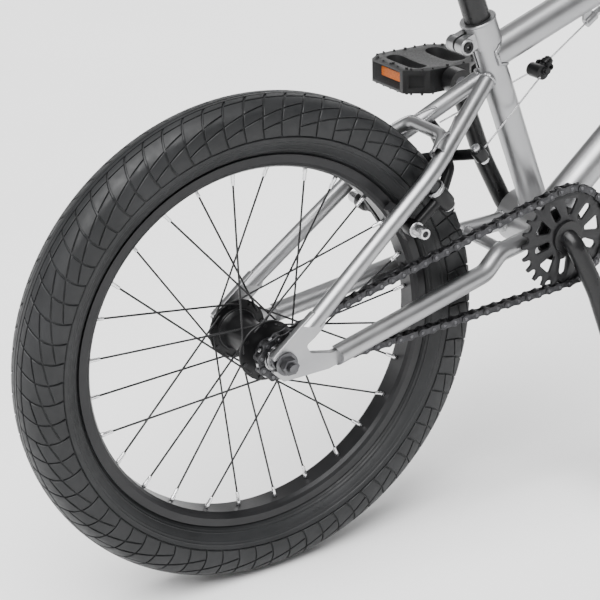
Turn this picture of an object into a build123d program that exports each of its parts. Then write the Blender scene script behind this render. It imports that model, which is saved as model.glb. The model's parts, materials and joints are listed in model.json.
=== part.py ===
"""An 18-inch BMX bike with one rear U-brake, a one-piece crank and a half-inch chain.

Millimetres, +X forward, +Y to the rider's left, +Z up. Everything is drawn about the rear axle, and
write() moves it so that the origin is on the ground, midway along the bike's length.
"""
import os
from math import asin, atan2, cos, degrees, hypot, pi, radians, sin, tan

from build123d import *

os.makedirs("parts", exist_ok=True)

# ---------------------------------------------------------------- driving dimensions
TYRE_RADIUS = 238.5          # 18 x 2.35 tyre on a 355 mm rim
TYRE_HALF_WIDTH = 28.5
RIM_FLANGE_RADIUS = 184.0
RIM_INNER_RADIUS = 171.3
RIM_HALF_WIDTH = 15.0
SPOKES = 28
SPOKE_RADIUS = 1.0
NIPPLE_PHASE = 82.1          # degrees from +X to the first nipple
SPOKE_CROSSINGS = 3
HUB_FLANGE = 3.0

CHAIN_PITCH = 12.7
SPROCKET_TEETH = 25
DRIVER_TEETH = 9
ROLLER_RADIUS = 3.88
CHAIN_LINKS_TOP = 26
CHAIN_LINKS_BOTTOM = 26
DRIVER_PINS = 6
CHAIN_LINE_Y = -44.0
CENTRE_DISTANCE = 335.0      # rear axle to crank axis
CRANK_TILT = 7.67            # degrees from level to the line between the two axes
SPROCKET_PHASE = 7.2         # degrees from that line to a tooth gap

SEAT_ANGLE = 70.1
SEAT_TUBE_RADIUS = 14.3
POST_RADIUS = 12.7
TOP_TUBE_RADIUS = 15.9
DOWN_TUBE_RADIUS = 17.45
SEATSTAY_RADIUS = 7.95
CHAINSTAY_RADIUS = 9.5
TUBE_WALL = 1.6
SHELL_RADIUS = 28.6          # bottom bracket shell for a one-piece crank
SHELL_BORE = 25.65
SHELL_HALF_WIDTH = 34.0

HEAD_ANGLE = 74.5
HEAD_TUBE_LENGTH = 114.0
HEAD_TUBE_RADIUS = 22.0
HEAD_BORE = 20.7
STEERER_RADIUS = 14.3
FORK_OFFSET = 28.0

CRANK_LENGTH = 150.0
CRANK_ANGLE = 110.0          # degrees from +X to the left arm
ARM_RADIUS = 9.5
BAR_RADIUS = 11.1
BAR_WALL = 2.0
BAR_HALF_WIDTH = 330.0
BAR_RISE = 200.0
AXLE_RADIUS = 4.76           # 3/8 inch axles
AXLE_END_RADIUS = 4.4
AXLE_END_LENGTH = 4.0
DROPOUT_INNER = 55.0
DROPOUT_OUTER = 61.5
RUNNING_GAP = 0.05

# ---------------------------------------------------------------- frame geometry about the rear axle
CRANK_X = CENTRE_DISTANCE * cos(radians(CRANK_TILT))
CRANK_Z = CENTRE_DISTANCE * sin(radians(CRANK_TILT))
SEAT_FOOT = Vector(334.4, 0, CRANK_Z)
SEAT_UP = Vector(-cos(radians(SEAT_ANGLE)), 0, sin(radians(SEAT_ANGLE)))
SEAT_BACK = Vector(-sin(radians(SEAT_ANGLE)), 0, -cos(radians(SEAT_ANGLE)))
COLLAR_TOP = 236.0           # along the seat tube
COLLAR_RADIUS = 17.2
HEAD_TOP = Vector(670.8, 0, 404.0)
HEAD_UP = Vector(-cos(radians(HEAD_ANGLE)), 0, sin(radians(HEAD_ANGLE)))
HEAD_FORWARD = Vector(sin(radians(HEAD_ANGLE)), 0, cos(radians(HEAD_ANGLE)))
TOP_TUBE_REAR = Vector(268.7, 0, 230.9)
TOP_TUBE_FRONT = Vector(678.0, 0, 378.0)
DOWN_TUBE_REAR = Vector(334.0, 0, 44.5)
DOWN_TUBE_FRONT = Vector(687.9, 0, 342.3)
AXLE_DROP = (HEAD_TOP.Z + FORK_OFFSET * cos(radians(HEAD_ANGLE))) / sin(radians(HEAD_ANGLE))
FRONT_AXLE_X = (HEAD_TOP - HEAD_UP * AXLE_DROP + HEAD_FORWARD * FORK_OFFSET).X
REAR_AXLE_X = -FRONT_AXLE_X / 2
ORIGIN_SHIFT = Location((REAR_AXLE_X, 0, TYRE_RADIUS))


# ---------------------------------------------------------------- helpers
def write(name, *shapes):
    """Write one sub-part: its solids, moved into the bike's frame."""
    solids = [solid for shape in shapes for solid in shape.solids()]
    solids = [solid.moved(ORIGIN_SHIFT) for solid in solids]
    export_step(solids[0] if len(solids) == 1 else Compound(children=solids), f"parts/{name}.step")


def rod(start, end, radius, end_radius=None):
    """A round bar or a cone from one point to another."""
    start, end = Vector(*start), Vector(*end)
    plane = Plane(origin=start, z_dir=end - start)
    length = (end - start).length
    if end_radius is None:
        return Solid.make_cylinder(radius, length, plane)
    return Solid.make_cone(radius, end_radius, length, plane)


def tube(start, end, radius, wall=TUBE_WALL):
    return rod(start, end, radius) - rod(start, end, radius - wall)


def cross_bar(x, z, y_from, y_to, radius):
    """A round bar along Y."""
    return rod((x, y_from, z), (x, y_to, z), radius)


def bent_rod(points, radius, bends):
    """A round bar along straight runs joined by tangent arcs."""
    path = FilletPolyline(*points, radius=bends)
    section = Plane(origin=path @ 0, z_dir=path % 0) * Circle(radius)
    return sweep(section, path=path)


def bent_tube(points, radius, bends, wall=TUBE_WALL):
    path = FilletPolyline(*points, radius=bends)
    plane = Plane(origin=path @ 0, z_dir=path % 0)
    return sweep(plane * (Circle(radius) - Circle(radius - wall)), path=path)


def mirrored(shape):
    return shape.mirror(Plane.XZ)


def turned(outline):
    """A ring about the Y axis from an outline of (radius, y) points."""
    face = make_face(Polyline(*outline, close=True))
    return revolve(face, Axis.Y)


def plate(outline, y_from, y_to):
    """A flat plate in the XZ plane between two Y planes; outline is a sketch in X and Z."""
    plane = Plane(origin=(0, y_from, 0), x_dir=(1, 0, 0), z_dir=(0, -1, 0))
    return extrude(plane * outline, -(y_to - y_from))


def seat_axis(along, back=0.0, side=0.0):
    point = SEAT_FOOT + SEAT_UP * along + SEAT_BACK * back
    return Vector(point.X, side, point.Z)


def steering(forward, side, up):
    """A point in the steering frame: from the top of the head tube."""
    point = HEAD_TOP + HEAD_FORWARD * forward + HEAD_UP * up
    return Vector(point.X, side, point.Z)


def axle_frame(centre_x):
    """Move a wheel part from the rear axle to a wheel's own axle."""
    return Location((centre_x, 0, 0))


# ---------------------------------------------------------------- wheels
def tyre():
    outer = [
        Line((179.3, 9.2), (179.3, 12.3)),
        Line((179.3, 12.3), (184.8, 12.4)),
        ThreePointArc((184.8, 12.4), (193.5, 22.4), (208.0, TYRE_HALF_WIDTH)),
        ThreePointArc((208.0, TYRE_HALF_WIDTH), (219.0, 28.2), (229.0, 25.0)),
        ThreePointArc((229.0, 25.0), (236.0, 13.8), (TYRE_RADIUS, 0)),
        Line((TYRE_RADIUS, 0), (233.5, 0)),
        ThreePointArc((233.5, 0), (231.3, 12.2), (225.0, 21.6)),
        ThreePointArc((225.0, 21.6), (217.5, 25.2), (208.0, 25.4)),
        ThreePointArc((208.0, 25.4), (196.0, 19.8), (186.6, 9.2)),
        Line((186.6, 9.2), (179.3, 9.2)),
    ]
    half = make_face(Wire(outer))
    return revolve(half, Axis.Y) + revolve(mirrored(half), Axis.Y)


def rim():
    outside = [(RIM_INNER_RADIUS, 9.5), (173.5, 13.0), (176.5, RIM_HALF_WIDTH), (RIM_FLANGE_RADIUS, RIM_HALF_WIDTH)]
    inside = [(RIM_FLANGE_RADIUS, 13.2), (178.4, 12.5), (175.4, 9.0), (174.2, 5.0)]
    side = outside + inside
    outline = side + [(radius, -y) for radius, y in reversed(side)]
    return turned(outline)


def hub(bore, right, left, flange, shell, left_end, right_end):
    """A hub shell: two flanges on a waisted barrel, with a neck for the bearing outside each flange."""
    half = HUB_FLANGE / 2
    neck = shell * 0.72
    right_side = [(bore, right_end), (neck, right_end), (neck, right - half), (flange, right - half),
                  (flange, right + half), (shell + 3, right + half), (shell, right + 7)]
    left_side = [(shell, left - 7), (shell + 3, left - half), (flange, left - half), (flange, left + half),
                 (neck, left + half), (neck, left_end), (bore, left_end)]
    return turned(right_side + left_side)


def spoke_ends(right, left, hole_radius):
    """Hub hole and nipple seat of every spoke, as pairs of points about the axle."""
    ends = []
    for index in range(SPOKES):
        on_left = index % 2 == 0
        leading = (index // 2) % 2 == 0
        at_rim = radians(NIPPLE_PHASE + index * 360 / SPOKES)
        swing = radians(SPOKE_CROSSINGS * 360 / (SPOKES / 2)) * (1 if leading else -1)
        at_hub = at_rim + swing
        flange_y = (left if on_left else right) + (1.9 if leading == on_left else -1.9)
        rim_y = 1.5 if on_left else -1.5
        hub_point = Vector(hole_radius * cos(at_hub), flange_y, hole_radius * sin(at_hub))
        rim_point = Vector(RIM_INNER_RADIUS * cos(at_rim), rim_y, RIM_INNER_RADIUS * sin(at_rim))
        ends.append((hub_point, rim_point))
    return ends


def spokes_and_nipples(right, left, hole_radius):
    nipple_length = 13.0
    spokes, nipples = [], []
    for hub_point, rim_point in spoke_ends(right, left, hole_radius):
        along = (rim_point - hub_point).normalized()
        foot = rim_point - along * nipple_length
        spokes.append(rod(hub_point, foot, SPOKE_RADIUS))
        nipples.append(rod(foot, rim_point - along * 0.5, 2.1))
    return spokes, nipples


def wheel(side, centre_x, right, left, flange, shell, right_end, left_end):
    place = axle_frame(centre_x)
    write(f"{side}_tyre", tyre().moved(place))
    write(f"{side}_rim", rim().moved(place))
    body = hub(AXLE_RADIUS + RUNNING_GAP, right, left, flange, shell, left_end, right_end)
    write(f"{side}_hub", body.moved(place))
    spokes, nipples = spokes_and_nipples(right, left, flange - 3.5)
    write(f"{side}_spokes", *[spoke.moved(place) for spoke in spokes])
    write(f"{side}_nipples", *[nipple.moved(place) for nipple in nipples])


def axle_and_nuts(side, centre_x, inner, outer, tip):
    """A threaded axle with plain turned-down ends, and a cone, washer and nut at each side."""
    shank = cross_bar(centre_x, 0, -tip + AXLE_END_LENGTH, tip - AXLE_END_LENGTH, AXLE_RADIUS)
    ends = cross_bar(centre_x, 0, -tip, tip, AXLE_END_RADIUS)
    write(f"{side}_axle", shank + ends)
    nuts = []
    for sign in (-1, 1):
        washer = cross_bar(centre_x, 0, sign * outer, sign * (outer + 2.2), 11.0)
        hexagon = plate(Pos(centre_x, 0) * RegularPolygon(8.4, 6), outer + 2.2, outer + 10.2)
        hexagon = hexagon if sign > 0 else mirrored(hexagon)
        cone = cross_bar(centre_x, 0, sign * (inner - 6.0), sign * inner, 9.0)
        bore = cross_bar(centre_x, 0, sign * (inner - 8.0), sign * (outer + 12), AXLE_RADIUS)
        nuts.append((washer + hexagon) - bore)
        nuts.append(cone - bore)
    write(f"{side}_axle_nuts", *nuts)


# ---------------------------------------------------------------- frame
def seat_tube():
    full = rod(seat_axis(0), seat_axis(COLLAR_TOP), SEAT_TUBE_RADIUS)
    collar = rod(seat_axis(212), seat_axis(COLLAR_TOP), COLLAR_RADIUS)
    ear_centre = seat_axis(223.5, 26.0)
    ear = cross_bar(ear_centre.X, ear_centre.Z, -10.5, 10.5, 7.6)
    bridge_plane = Plane(origin=seat_axis(223.5, 18.0), x_dir=SEAT_BACK, z_dir=SEAT_UP)
    bridge = extrude(bridge_plane * Rectangle(16, 21), 7.4, both=True)
    bore = rod(seat_axis(-5), seat_axis(COLLAR_TOP + 5), POST_RADIUS + RUNNING_GAP)
    slot_plane = Plane(origin=seat_axis(215, 24.0), x_dir=SEAT_BACK, z_dir=SEAT_UP)
    slot = extrude(slot_plane * Rectangle(34, 3.0), 24, both=True)
    bolt_hole = cross_bar(ear_centre.X, ear_centre.Z, -20, 20, 3.0)
    shell = cross_bar(CRANK_X, CRANK_Z, -50, 50, SHELL_RADIUS)
    return full + collar + ear + bridge - bore - slot - bolt_hole - shell


def clamp_bolt():
    centre = seat_axis(223.5, 26.0)
    shank = cross_bar(centre.X, centre.Z, -10.5, 10.5, 2.95)
    head = cross_bar(centre.X, centre.Z, -13.5, -10.5, 4.8)
    nut = cross_bar(centre.X, centre.Z, 10.5, 13.5, 4.8)
    socket = plate(Pos(centre.X, centre.Z) * RegularPolygon(2.9, 6), -13.6, -11.6)
    return shank + head + nut - socket


def frame_cutters():
    """Solid bodies of the tubes that others are mitred against."""
    return {
        "seat": rod(seat_axis(0), seat_axis(COLLAR_TOP), SEAT_TUBE_RADIUS)
        + rod(seat_axis(212), seat_axis(COLLAR_TOP), COLLAR_RADIUS),
        "head": rod(steering(0, 0, 0), steering(0, 0, -HEAD_TUBE_LENGTH), HEAD_TUBE_RADIUS),
        "shell": cross_bar(CRANK_X, CRANK_Z, -SHELL_HALF_WIDTH, SHELL_HALF_WIDTH, SHELL_RADIUS),
        "top": rod(TOP_TUBE_REAR, TOP_TUBE_FRONT, TOP_TUBE_RADIUS),
    }


def head_tube():
    body = rod(steering(0, 0, 0), steering(0, 0, -HEAD_TUBE_LENGTH), HEAD_TUBE_RADIUS)
    body -= rod(steering(0, 0, 5), steering(0, 0, -HEAD_TUBE_LENGTH - 5), 18.6)
    for up in (0, -HEAD_TUBE_LENGTH):
        body -= rod(steering(0, 0, up - 8), steering(0, 0, up + 8), HEAD_BORE)
    return body


def headset_bearings():
    rings = []
    for up in (-8, -HEAD_TUBE_LENGTH):
        ring = rod(steering(0, 0, up), steering(0, 0, up + 8), HEAD_BORE)
        bore = rod(steering(0, 0, up - 2), steering(0, 0, up + 10), STEERER_RADIUS + RUNNING_GAP)
        rings.append(ring - bore)
    return rings


def main_tubes(cutters):
    post_room = rod(seat_axis(0), seat_axis(COLLAR_TOP), SEAT_TUBE_RADIUS - 0.5)
    top = tube(TOP_TUBE_REAR, TOP_TUBE_FRONT, TOP_TUBE_RADIUS)
    top = top - cutters["seat"] - cutters["head"] - post_room
    behind = Plane(origin=seat_axis(200, -1.5), x_dir=SEAT_UP, z_dir=SEAT_BACK)
    top -= extrude(behind * Rectangle(120, 60), 40)
    down = tube(DOWN_TUBE_REAR, DOWN_TUBE_FRONT, DOWN_TUBE_RADIUS)
    down = down - cutters["shell"] - cutters["head"] - cutters["seat"] - cutters["top"]
    return largest(top), largest(down)


def largest(shape):
    return max(shape.solids(), key=lambda solid: solid.volume)


SEATSTAY_POINTS = [(20.0, -59.4, 23.2), (172, -45.0, 142.5), (266, -3.6, 211.5)]
SEATSTAY_SCALLOP = (20.0, -5.6, 37.8)      # x, z and radius of the round cut at the dropout end
CHAINSTAY_POINTS = [(47, -59.6, -8.3), (236, -40.2, 26.4), (257, -34.0, 40.5), (312, -25.5, 45.6)]
CHAINSTAY_SCALLOP = (44.5, -8.6, 13.0)
SCALLOP_CAP = 3.0


def scalloped(points, radius, bends, scallop):
    """A stay whose dropout end is cut round and closed by a cap that follows the cut."""
    x, z, cut_radius = scallop
    outside = bent_rod(points, radius, bends) - cross_bar(x, z, -90, 0, cut_radius)
    hollow = bent_rod(points, radius - TUBE_WALL, bends) - cross_bar(x, z, -90, 0, cut_radius + SCALLOP_CAP)
    return largest(outside - hollow)


def stays(cutters):
    seatstay = scalloped(SEATSTAY_POINTS, SEATSTAY_RADIUS, 160, SEATSTAY_SCALLOP)
    seatstay = seatstay - cutters["seat"] - Pos(0, 50, 0) * Box(2000, 100.2, 2000)
    chainstay = scalloped(CHAINSTAY_POINTS, CHAINSTAY_RADIUS, [26, 26], CHAINSTAY_SCALLOP)
    chainstay -= cross_bar(CRANK_X, CRANK_Z, -50, 50, SHELL_RADIUS)
    return largest(seatstay), largest(chainstay)


def dropout():
    """Right dropout: a plate with a rear-opening slot and a tab inside each stay, a notch between them."""
    edge = [(-13.2, 8.7), (16.3, 32.1), (31.0, 43.5), (44.0, 35.0), (41.0, 26.0)]
    notch = [(31.1, 17.9), (21.9, 12.1), (26.4, 4.0)]
    lower = [(48.8, -1.2), (66.0, 1.0), (68.0, -11.0), (45.0, -17.2)]
    lower += [(14.6, -17.6), (-3.0, -17.6), (-13.0, -7.0)]
    outline = make_face(Polyline(*(edge + notch + lower + [(-11.0, 0.0)]), close=True))
    outline = fillet(outline.vertices().filter_by_position(Axis.X, -5, 50), 3.2)
    slot = Pos(-20, 0) * Rectangle(40, 10.2) + Circle(5.1)
    return plate(outline - slot, -DROPOUT_OUTER, -DROPOUT_INNER)


def seatstay_bridge(cutter):
    """An arched tube between the seatstays that follows the tyre's crown."""
    points = [brake(44, -38, -7), brake(61, -27, -7), brake(61, 27, -7), brake(44, 38, -7)]
    return bent_tube(points, 6.2, 15) - cutter - mirrored(cutter)


def chainstay_bridge(cutter):
    return tube((262, -34, 42.3), (262, 34, 42.3), 6.0) - cutter - mirrored(cutter)


# ---------------------------------------------------------------- rear brake
STAY_SLOPE = radians(37.4)
BRAKE_ORIGIN = Vector(152, 0, 128.1)
BRAKE_UP = Vector(cos(STAY_SLOPE), 0, sin(STAY_SLOPE))
BRAKE_OUT = Vector(sin(STAY_SLOPE), 0, -cos(STAY_SLOPE))
PIVOT_ALONG = 18.0
PIVOT_SIDE = 43.5
PAD_ALONG = -22.0
PAD_OUT = 27.0
PAD_OPEN_ANGLE = 2.8          # degrees each arm turns before its pad meets the rim
ANCHOR_ALONG = 76.0
ANCHOR_SIDE = 35.0
RIGHT_ARM_LEVEL = 21.0
LEFT_ARM_LEVEL = 33.2
HANGER = Vector(326.0, 0, 204.9)
STOP = Vector(389.0, 0, 246.5)
STRADDLE_BEND = 4.0


def brake(along, side, out):
    """A point in the brake's frame: up the stays, across, and out towards the seat tube."""
    point = BRAKE_ORIGIN + BRAKE_UP * along + BRAKE_OUT * out
    return Vector(point.X, side, point.Z)


def brake_posts(cutter):
    """Each post: a boss welded to the stay, the pivot pin, and the head of its bolt."""
    posts = []
    for side in (-PIVOT_SIDE, PIVOT_SIDE):
        boss = rod(brake(PIVOT_ALONG, side, 4), brake(PIVOT_ALONG, side, 17.5), 7.5)
        pin = rod(brake(PIVOT_ALONG, side, 16), brake(PIVOT_ALONG, side, 36.2), 4.45)
        head = rod(brake(PIVOT_ALONG, side, 36.2), brake(PIVOT_ALONG, side, 40.5), 7.0)
        posts.append(boss + pin + head - cutter - mirrored(cutter))
    return posts


def brake_arm(level):
    """The right arm: hub, lower leg with the pad eye, upper arm reaching over the tyre to the left."""
    side = -PIVOT_SIDE
    low, high = 17.8, 36.0
    hub_body = rod(brake(PIVOT_ALONG, side, low), brake(PIVOT_ALONG, side, high), 9.0)
    bore = rod(brake(PIVOT_ALONG, side, low - 1), brake(PIVOT_ALONG, side, high + 1), 4.5)
    leg = rod(brake(PIVOT_ALONG - 2, side, PAD_OUT), brake(PAD_ALONG + 4, side, PAD_OUT), 6.0, 5.0)
    eye = rod(brake(PAD_ALONG, side - 5, PAD_OUT), brake(PAD_ALONG, side + 5, PAD_OUT), 8.0)
    eye_bore = rod(brake(PAD_ALONG, side - 9, PAD_OUT), brake(PAD_ALONG, side + 9, PAD_OUT), 3.0)
    tip = brake(ANCHOR_ALONG, ANCHOR_SIDE, level)
    reach = [brake(PIVOT_ALONG, side, 26), brake(45, -31, level), brake(56, -11, level), brake(68, 17, level), tip]
    upper = bent_rod(reach, 5.4, [16, 30, 30])
    anchor = rod(tip - BRAKE_OUT * 6, tip + BRAKE_OUT * 6, 7.0)
    return hub_body + leg + eye + upper + anchor - bore - eye_bore


def brake_pad():
    """Right pad: block facing the rim, threaded stud through the arm's eye, and its nut."""
    centre = brake(PAD_ALONG, 0, PAD_OUT)
    heading = degrees(atan2(centre.Z, centre.X))
    block = Pos(177.6, -RIM_HALF_WIDTH - 0.06 - 4.0, 0) * Box(9.5, 8.0, 42.0)
    block = block.rotate(Axis.Y, -heading)
    block = block.rotate(Axis(brake(PIVOT_ALONG, -PIVOT_SIDE, 0), BRAKE_OUT), -PAD_OPEN_ANGLE)
    stud = rod(brake(PAD_ALONG, -PIVOT_SIDE - 15, PAD_OUT), brake(PAD_ALONG, -24.8, PAD_OUT), 2.95)
    nut = rod(brake(PAD_ALONG, -PIVOT_SIDE - 19, PAD_OUT), brake(PAD_ALONG, -PIVOT_SIDE - 5, PAD_OUT), 5.6)
    spacer = rod(brake(PAD_ALONG, -PIVOT_SIDE + 5, PAD_OUT), brake(PAD_ALONG, -25, PAD_OUT), 6.0)
    return block + stud + nut + spacer


def cable_hanger():
    body = rod(HANGER + Vector(0, -9, 0), HANGER + Vector(0, 9, 0), 7.0)
    nose = rod(HANGER, HANGER + Vector(15.2, 0, 9.7), 4.0)
    bolt = rod(HANGER + Vector(3, -13, 2), HANGER + Vector(3, -7, 2), 3.2)
    return body + nose + bolt - bent_rod(straddle_route(), 1.6, STRADDLE_BEND)


def straddle_route():
    """From the right anchor over the hanger to the left anchor, starting clear of each."""
    left = brake(ANCHOR_ALONG, ANCHOR_SIDE, RIGHT_ARM_LEVEL)
    right = brake(ANCHOR_ALONG, -ANCHOR_SIDE, LEFT_ARM_LEVEL)
    left_lip = HANGER + Vector(-1.0, 8.0, -2.5)
    right_lip = HANGER + Vector(-1.0, -8.0, -2.5)
    left_run = left + (left_lip - left).normalized() * 9
    right_run = right + (right_lip - right).normalized() * 9
    return [right_run, right_lip, left_lip, left_run]


def straddle_wire():
    return bent_rod(straddle_route(), 0.9, STRADDLE_BEND)


def inner_cable():
    return rod(HANGER + CABLE_DIRECTION * 18.2, STOP - CABLE_DIRECTION * 6.2, 0.9)


def cable_stop():
    barrel = rod(STOP - CABLE_DIRECTION * 6, STOP + CABLE_DIRECTION * 7, 5.0)
    tab = Pos(STOP.X - 4, 0, STOP.Z + 6.5) * Box(9, 3.5, 12)
    bore = rod(STOP - CABLE_DIRECTION * 9, STOP + CABLE_DIRECTION * 9, 1.2)
    top = rod(TOP_TUBE_REAR, TOP_TUBE_FRONT, TOP_TUBE_RADIUS)
    return largest(barrel + tab - top - bore)


CABLE_DIRECTION = (STOP - HANGER).normalized()
HOUSING_ROUTE = [
    STOP + CABLE_DIRECTION * 7, (409, 0, 258.7), (437, 0, 269.0), (489, -2, 285.5), (548, -11, 306),
    (604, -25, 331), (652, -37, 362), (694, -43, 398), (728, -45, 440), (743, -42, 492), (733, -46, 545),
    (716, -62, 590), (697, -88, 622), (682.6, -128.3, 638.3), (675.2, -165.3, 638.4),
]


def housing_radii():
    """The largest tangent arc at each corner: 0.45 of the shorter run over the tangent of half the turn."""
    radii = []
    for before, here, after in zip(HOUSING_ROUTE, HOUSING_ROUTE[1:], HOUSING_ROUTE[2:]):
        arriving = Vector(*here) - Vector(*before)
        leaving = Vector(*after) - Vector(*here)
        turn = radians(arriving.get_angle(leaving))
        radii.append(0.45 * min(arriving.length, leaving.length) / tan(turn / 2))
    return radii


def brake_housing():
    radii = housing_radii()
    print("housing bend radii", [round(radius) for radius in radii])
    return bent_rod(HOUSING_ROUTE, 2.5, radii)


# ---------------------------------------------------------------- drive
def pitch_radius(teeth):
    return CHAIN_PITCH / 2 / sin(pi / teeth)


def toothed_disc(teeth, phase, tip_extra, relief):
    """Outline of a chain wheel; phase is the angle of a gap in degrees."""
    radius = pitch_radius(teeth)
    tip = radius + tip_extra
    disc = Circle(tip)
    seat = ROLLER_RADIUS + 0.22
    gap = Pos(radius, 0) * Circle(seat)
    mouth = seat + relief
    flank_points = [(radius, -seat), (tip + 1, -mouth), (tip + 1, mouth), (radius, seat)]
    flank = make_face(Polyline(*flank_points, close=True))
    cutter = gap + flank
    gaps = [Rot(0, 0, phase + index * 360 / teeth) * cutter for index in range(teeth)]
    return disc - gaps


def between(low, high, rises):
    """Bisect for the value where rises() changes from negative to positive."""
    for _ in range(60):
        middle = (low + high) / 2
        if rises(middle) > 0:
            high = middle
        else:
            low = middle
    return (low + high) / 2


def chain_pins():
    """Every chain pin, about the rear axle, in the frame of the line between the two axes."""
    big, small = pitch_radius(SPROCKET_TEETH), pitch_radius(DRIVER_TEETH)
    tangent = pi / 2 + asin((big - small) / CENTRE_DISTANCE)
    step = 2 * pi / SPROCKET_TEETH
    first = radians(SPROCKET_PHASE)
    seated = [first + index * step for index in range(-SPROCKET_TEETH, SPROCKET_TEETH)]
    seated = sorted(angle for angle in seated if -tangent <= angle <= tangent)
    pins = [(CENTRE_DISTANCE + big * cos(angle), big * sin(angle)) for angle in seated]
    top, bottom = pins[-1], pins[0]

    def spare(angle):
        run = hypot(top[0] - small * cos(angle), top[1] - small * sin(angle))
        return run - CHAIN_LINKS_TOP * CHAIN_PITCH

    entry = between(tangent - 0.6, tangent + 0.2, spare)
    small_step = 2 * pi / DRIVER_TEETH
    driver = [entry + index * small_step for index in range(DRIVER_PINS)]
    driver_pins = [(small * cos(angle), small * sin(angle)) for angle in driver]
    landing = driver_pins[0]
    for index in range(1, CHAIN_LINKS_TOP):
        part = index / CHAIN_LINKS_TOP
        pins.append((top[0] + (landing[0] - top[0]) * part, top[1] + (landing[1] - top[1]) * part))
    pins += driver_pins
    start = driver_pins[-1]
    span = hypot(bottom[0] - start[0], bottom[1] - start[1])
    heading = atan2(bottom[1] - start[1], bottom[0] - start[0])

    def too_short(turn):
        return span - CHAIN_PITCH * sin(CHAIN_LINKS_BOTTOM * turn / 2) / sin(turn / 2)

    turn = between(1e-6, 0.02, too_short)
    direction = heading - turn * (CHAIN_LINKS_BOTTOM - 1) / 2
    x, z = start
    for index in range(CHAIN_LINKS_BOTTOM - 1):
        x += CHAIN_PITCH * cos(direction)
        z += CHAIN_PITCH * sin(direction)
        direction += turn
        pins.append((x, z))
    return pins, degrees(entry)


def to_bike(point):
    tilt = radians(CRANK_TILT)
    return (point[0] * cos(tilt) - point[1] * sin(tilt), point[0] * sin(tilt) + point[1] * cos(tilt))


def chain_link(first, second, outer):
    """An outer link is two plates with their pins; an inner link is two plates with their rollers."""
    length = hypot(second[0] - first[0], second[1] - first[1])
    waist = Rectangle(length, 5.4) + Pos(-length / 2, 0) * Circle(4.1) + Pos(length / 2, 0) * Circle(4.1)
    ends = [(-length / 2, 0), (length / 2, 0)]
    if outer:
        half_gap, half_total = 3.45, 4.55
        core = [Pos(*end) * Circle(1.8) for end in ends]
        link = extrude(waist, half_total, both=True) - extrude(Rectangle(30, 30), half_gap, both=True)
        link += [extrude(circle, half_total + 0.4, both=True) for circle in core]
    else:
        half_gap, half_total = 2.0, 3.3
        link = extrude(waist, half_total, both=True) - extrude(Rectangle(30, 30), half_gap, both=True)
        link += [extrude(Pos(*end) * Circle(ROLLER_RADIUS), half_gap, both=True) for end in ends]
        link -= [extrude(Pos(*end) * Circle(1.9), 10, both=True) for end in ends]
    middle = ((first[0] + second[0]) / 2, (first[1] + second[1]) / 2)
    heading = Vector(second[0] - first[0], 0, second[1] - first[1])
    plane = Plane(origin=(middle[0], CHAIN_LINE_Y, middle[1]), x_dir=heading, z_dir=(0, -1, 0))
    return link.moved(plane.location)


def chain():
    pins, _ = chain_pins()
    pins = [to_bike(pin) for pin in pins]
    pairs = zip(pins, pins[1:] + pins[:1])
    return [chain_link(first, second, index % 2 == 0) for index, (first, second) in enumerate(pairs)]


def sprocket():
    outline = toothed_disc(SPROCKET_TEETH, SPROCKET_PHASE + CRANK_TILT, 4.0, 1.7)
    slot = Pos(30.0, 0) * SlotOverall(19.0, 8.0)
    fan = make_face(Polyline((22.5, -2.2), (39.5, -8.6), (39.8, 8.6), (22.5, 2.2), close=True))
    fan = fillet(fan.vertices(), 1.9)
    windows = [Rot(0, 0, 47 + 72 * index) * slot for index in range(5)]
    windows += [Rot(0, 0, 11 + 72 * index) * fan for index in range(5)]
    outline = outline - windows - Circle(12.05)
    disc = plate(outline, -1.6, 1.6)
    return disc.moved(Location((CRANK_X, CHAIN_LINE_Y, CRANK_Z)))


def driver():
    _, entry = chain_pins()
    bore = AXLE_RADIUS + RUNNING_GAP
    outline = toothed_disc(DRIVER_TEETH, entry + CRANK_TILT, 3.0, 3.0) - Circle(bore)
    cog = plate(outline, CHAIN_LINE_Y - 1.5, CHAIN_LINE_Y + 1.5)
    boss = turned([(bore, -48.6), (12.5, -48.6), (12.5, -34.4), (bore, -34.4)])
    return cog + boss


def crank_point(along, y, side):
    """A point on an arm: side +1 is the left arm."""
    angle = radians(CRANK_ANGLE) + (0 if side > 0 else pi)
    return Vector(CRANK_X + along * cos(angle), side * y, CRANK_Z + along * sin(angle))


def crank():
    points = [crank_point(CRANK_LENGTH, 71, 1), crank_point(58, 69.5, 1), crank_point(0, 54, 1),
              crank_point(0, 54, -1), crank_point(58, 69.5, -1), crank_point(CRANK_LENGTH, 71, -1)]
    arms = bent_rod(points, ARM_RADIUS, [60, 17, 17, 60])
    spindle = cross_bar(CRANK_X, CRANK_Z, -46.9, 42, 12.0)
    cones = cross_bar(CRANK_X, CRANK_Z, 22, 36.6, 15.0) + cross_bar(CRANK_X, CRANK_Z, -36.6, -22, 15.0)
    locks = cross_bar(CRANK_X, CRANK_Z, 36.6, 42.5, 18.0) + cross_bar(CRANK_X, CRANK_Z, -42.4, -36.6, 17.0)
    collar = cross_bar(CRANK_X, CRANK_Z, -49.0, -45.6, 17.0)
    body = arms + spindle + cones + locks + collar
    for side in (-1, 1):
        eye = crank_point(CRANK_LENGTH, 72, side)
        body += cross_bar(eye.X, eye.Z, side * 63.6, side * 80.4, 13.0)
        body -= cross_bar(eye.X, eye.Z, side * 60, side * 84, 6.35)
    return body


def bracket_cups():
    lip = [(19.0, 36.0), (27.6, 36.0), (27.6, 34.0)]
    cup = turned(lip + [(SHELL_BORE, 34.0), (SHELL_BORE, 24.0), (24.0, 24.0), (24.0, 34.2), (19.0, 34.2)])
    cups = [cup, mirrored(cup)]
    return [shape.moved(Location((CRANK_X, 0, CRANK_Z))) for shape in cups]


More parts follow.
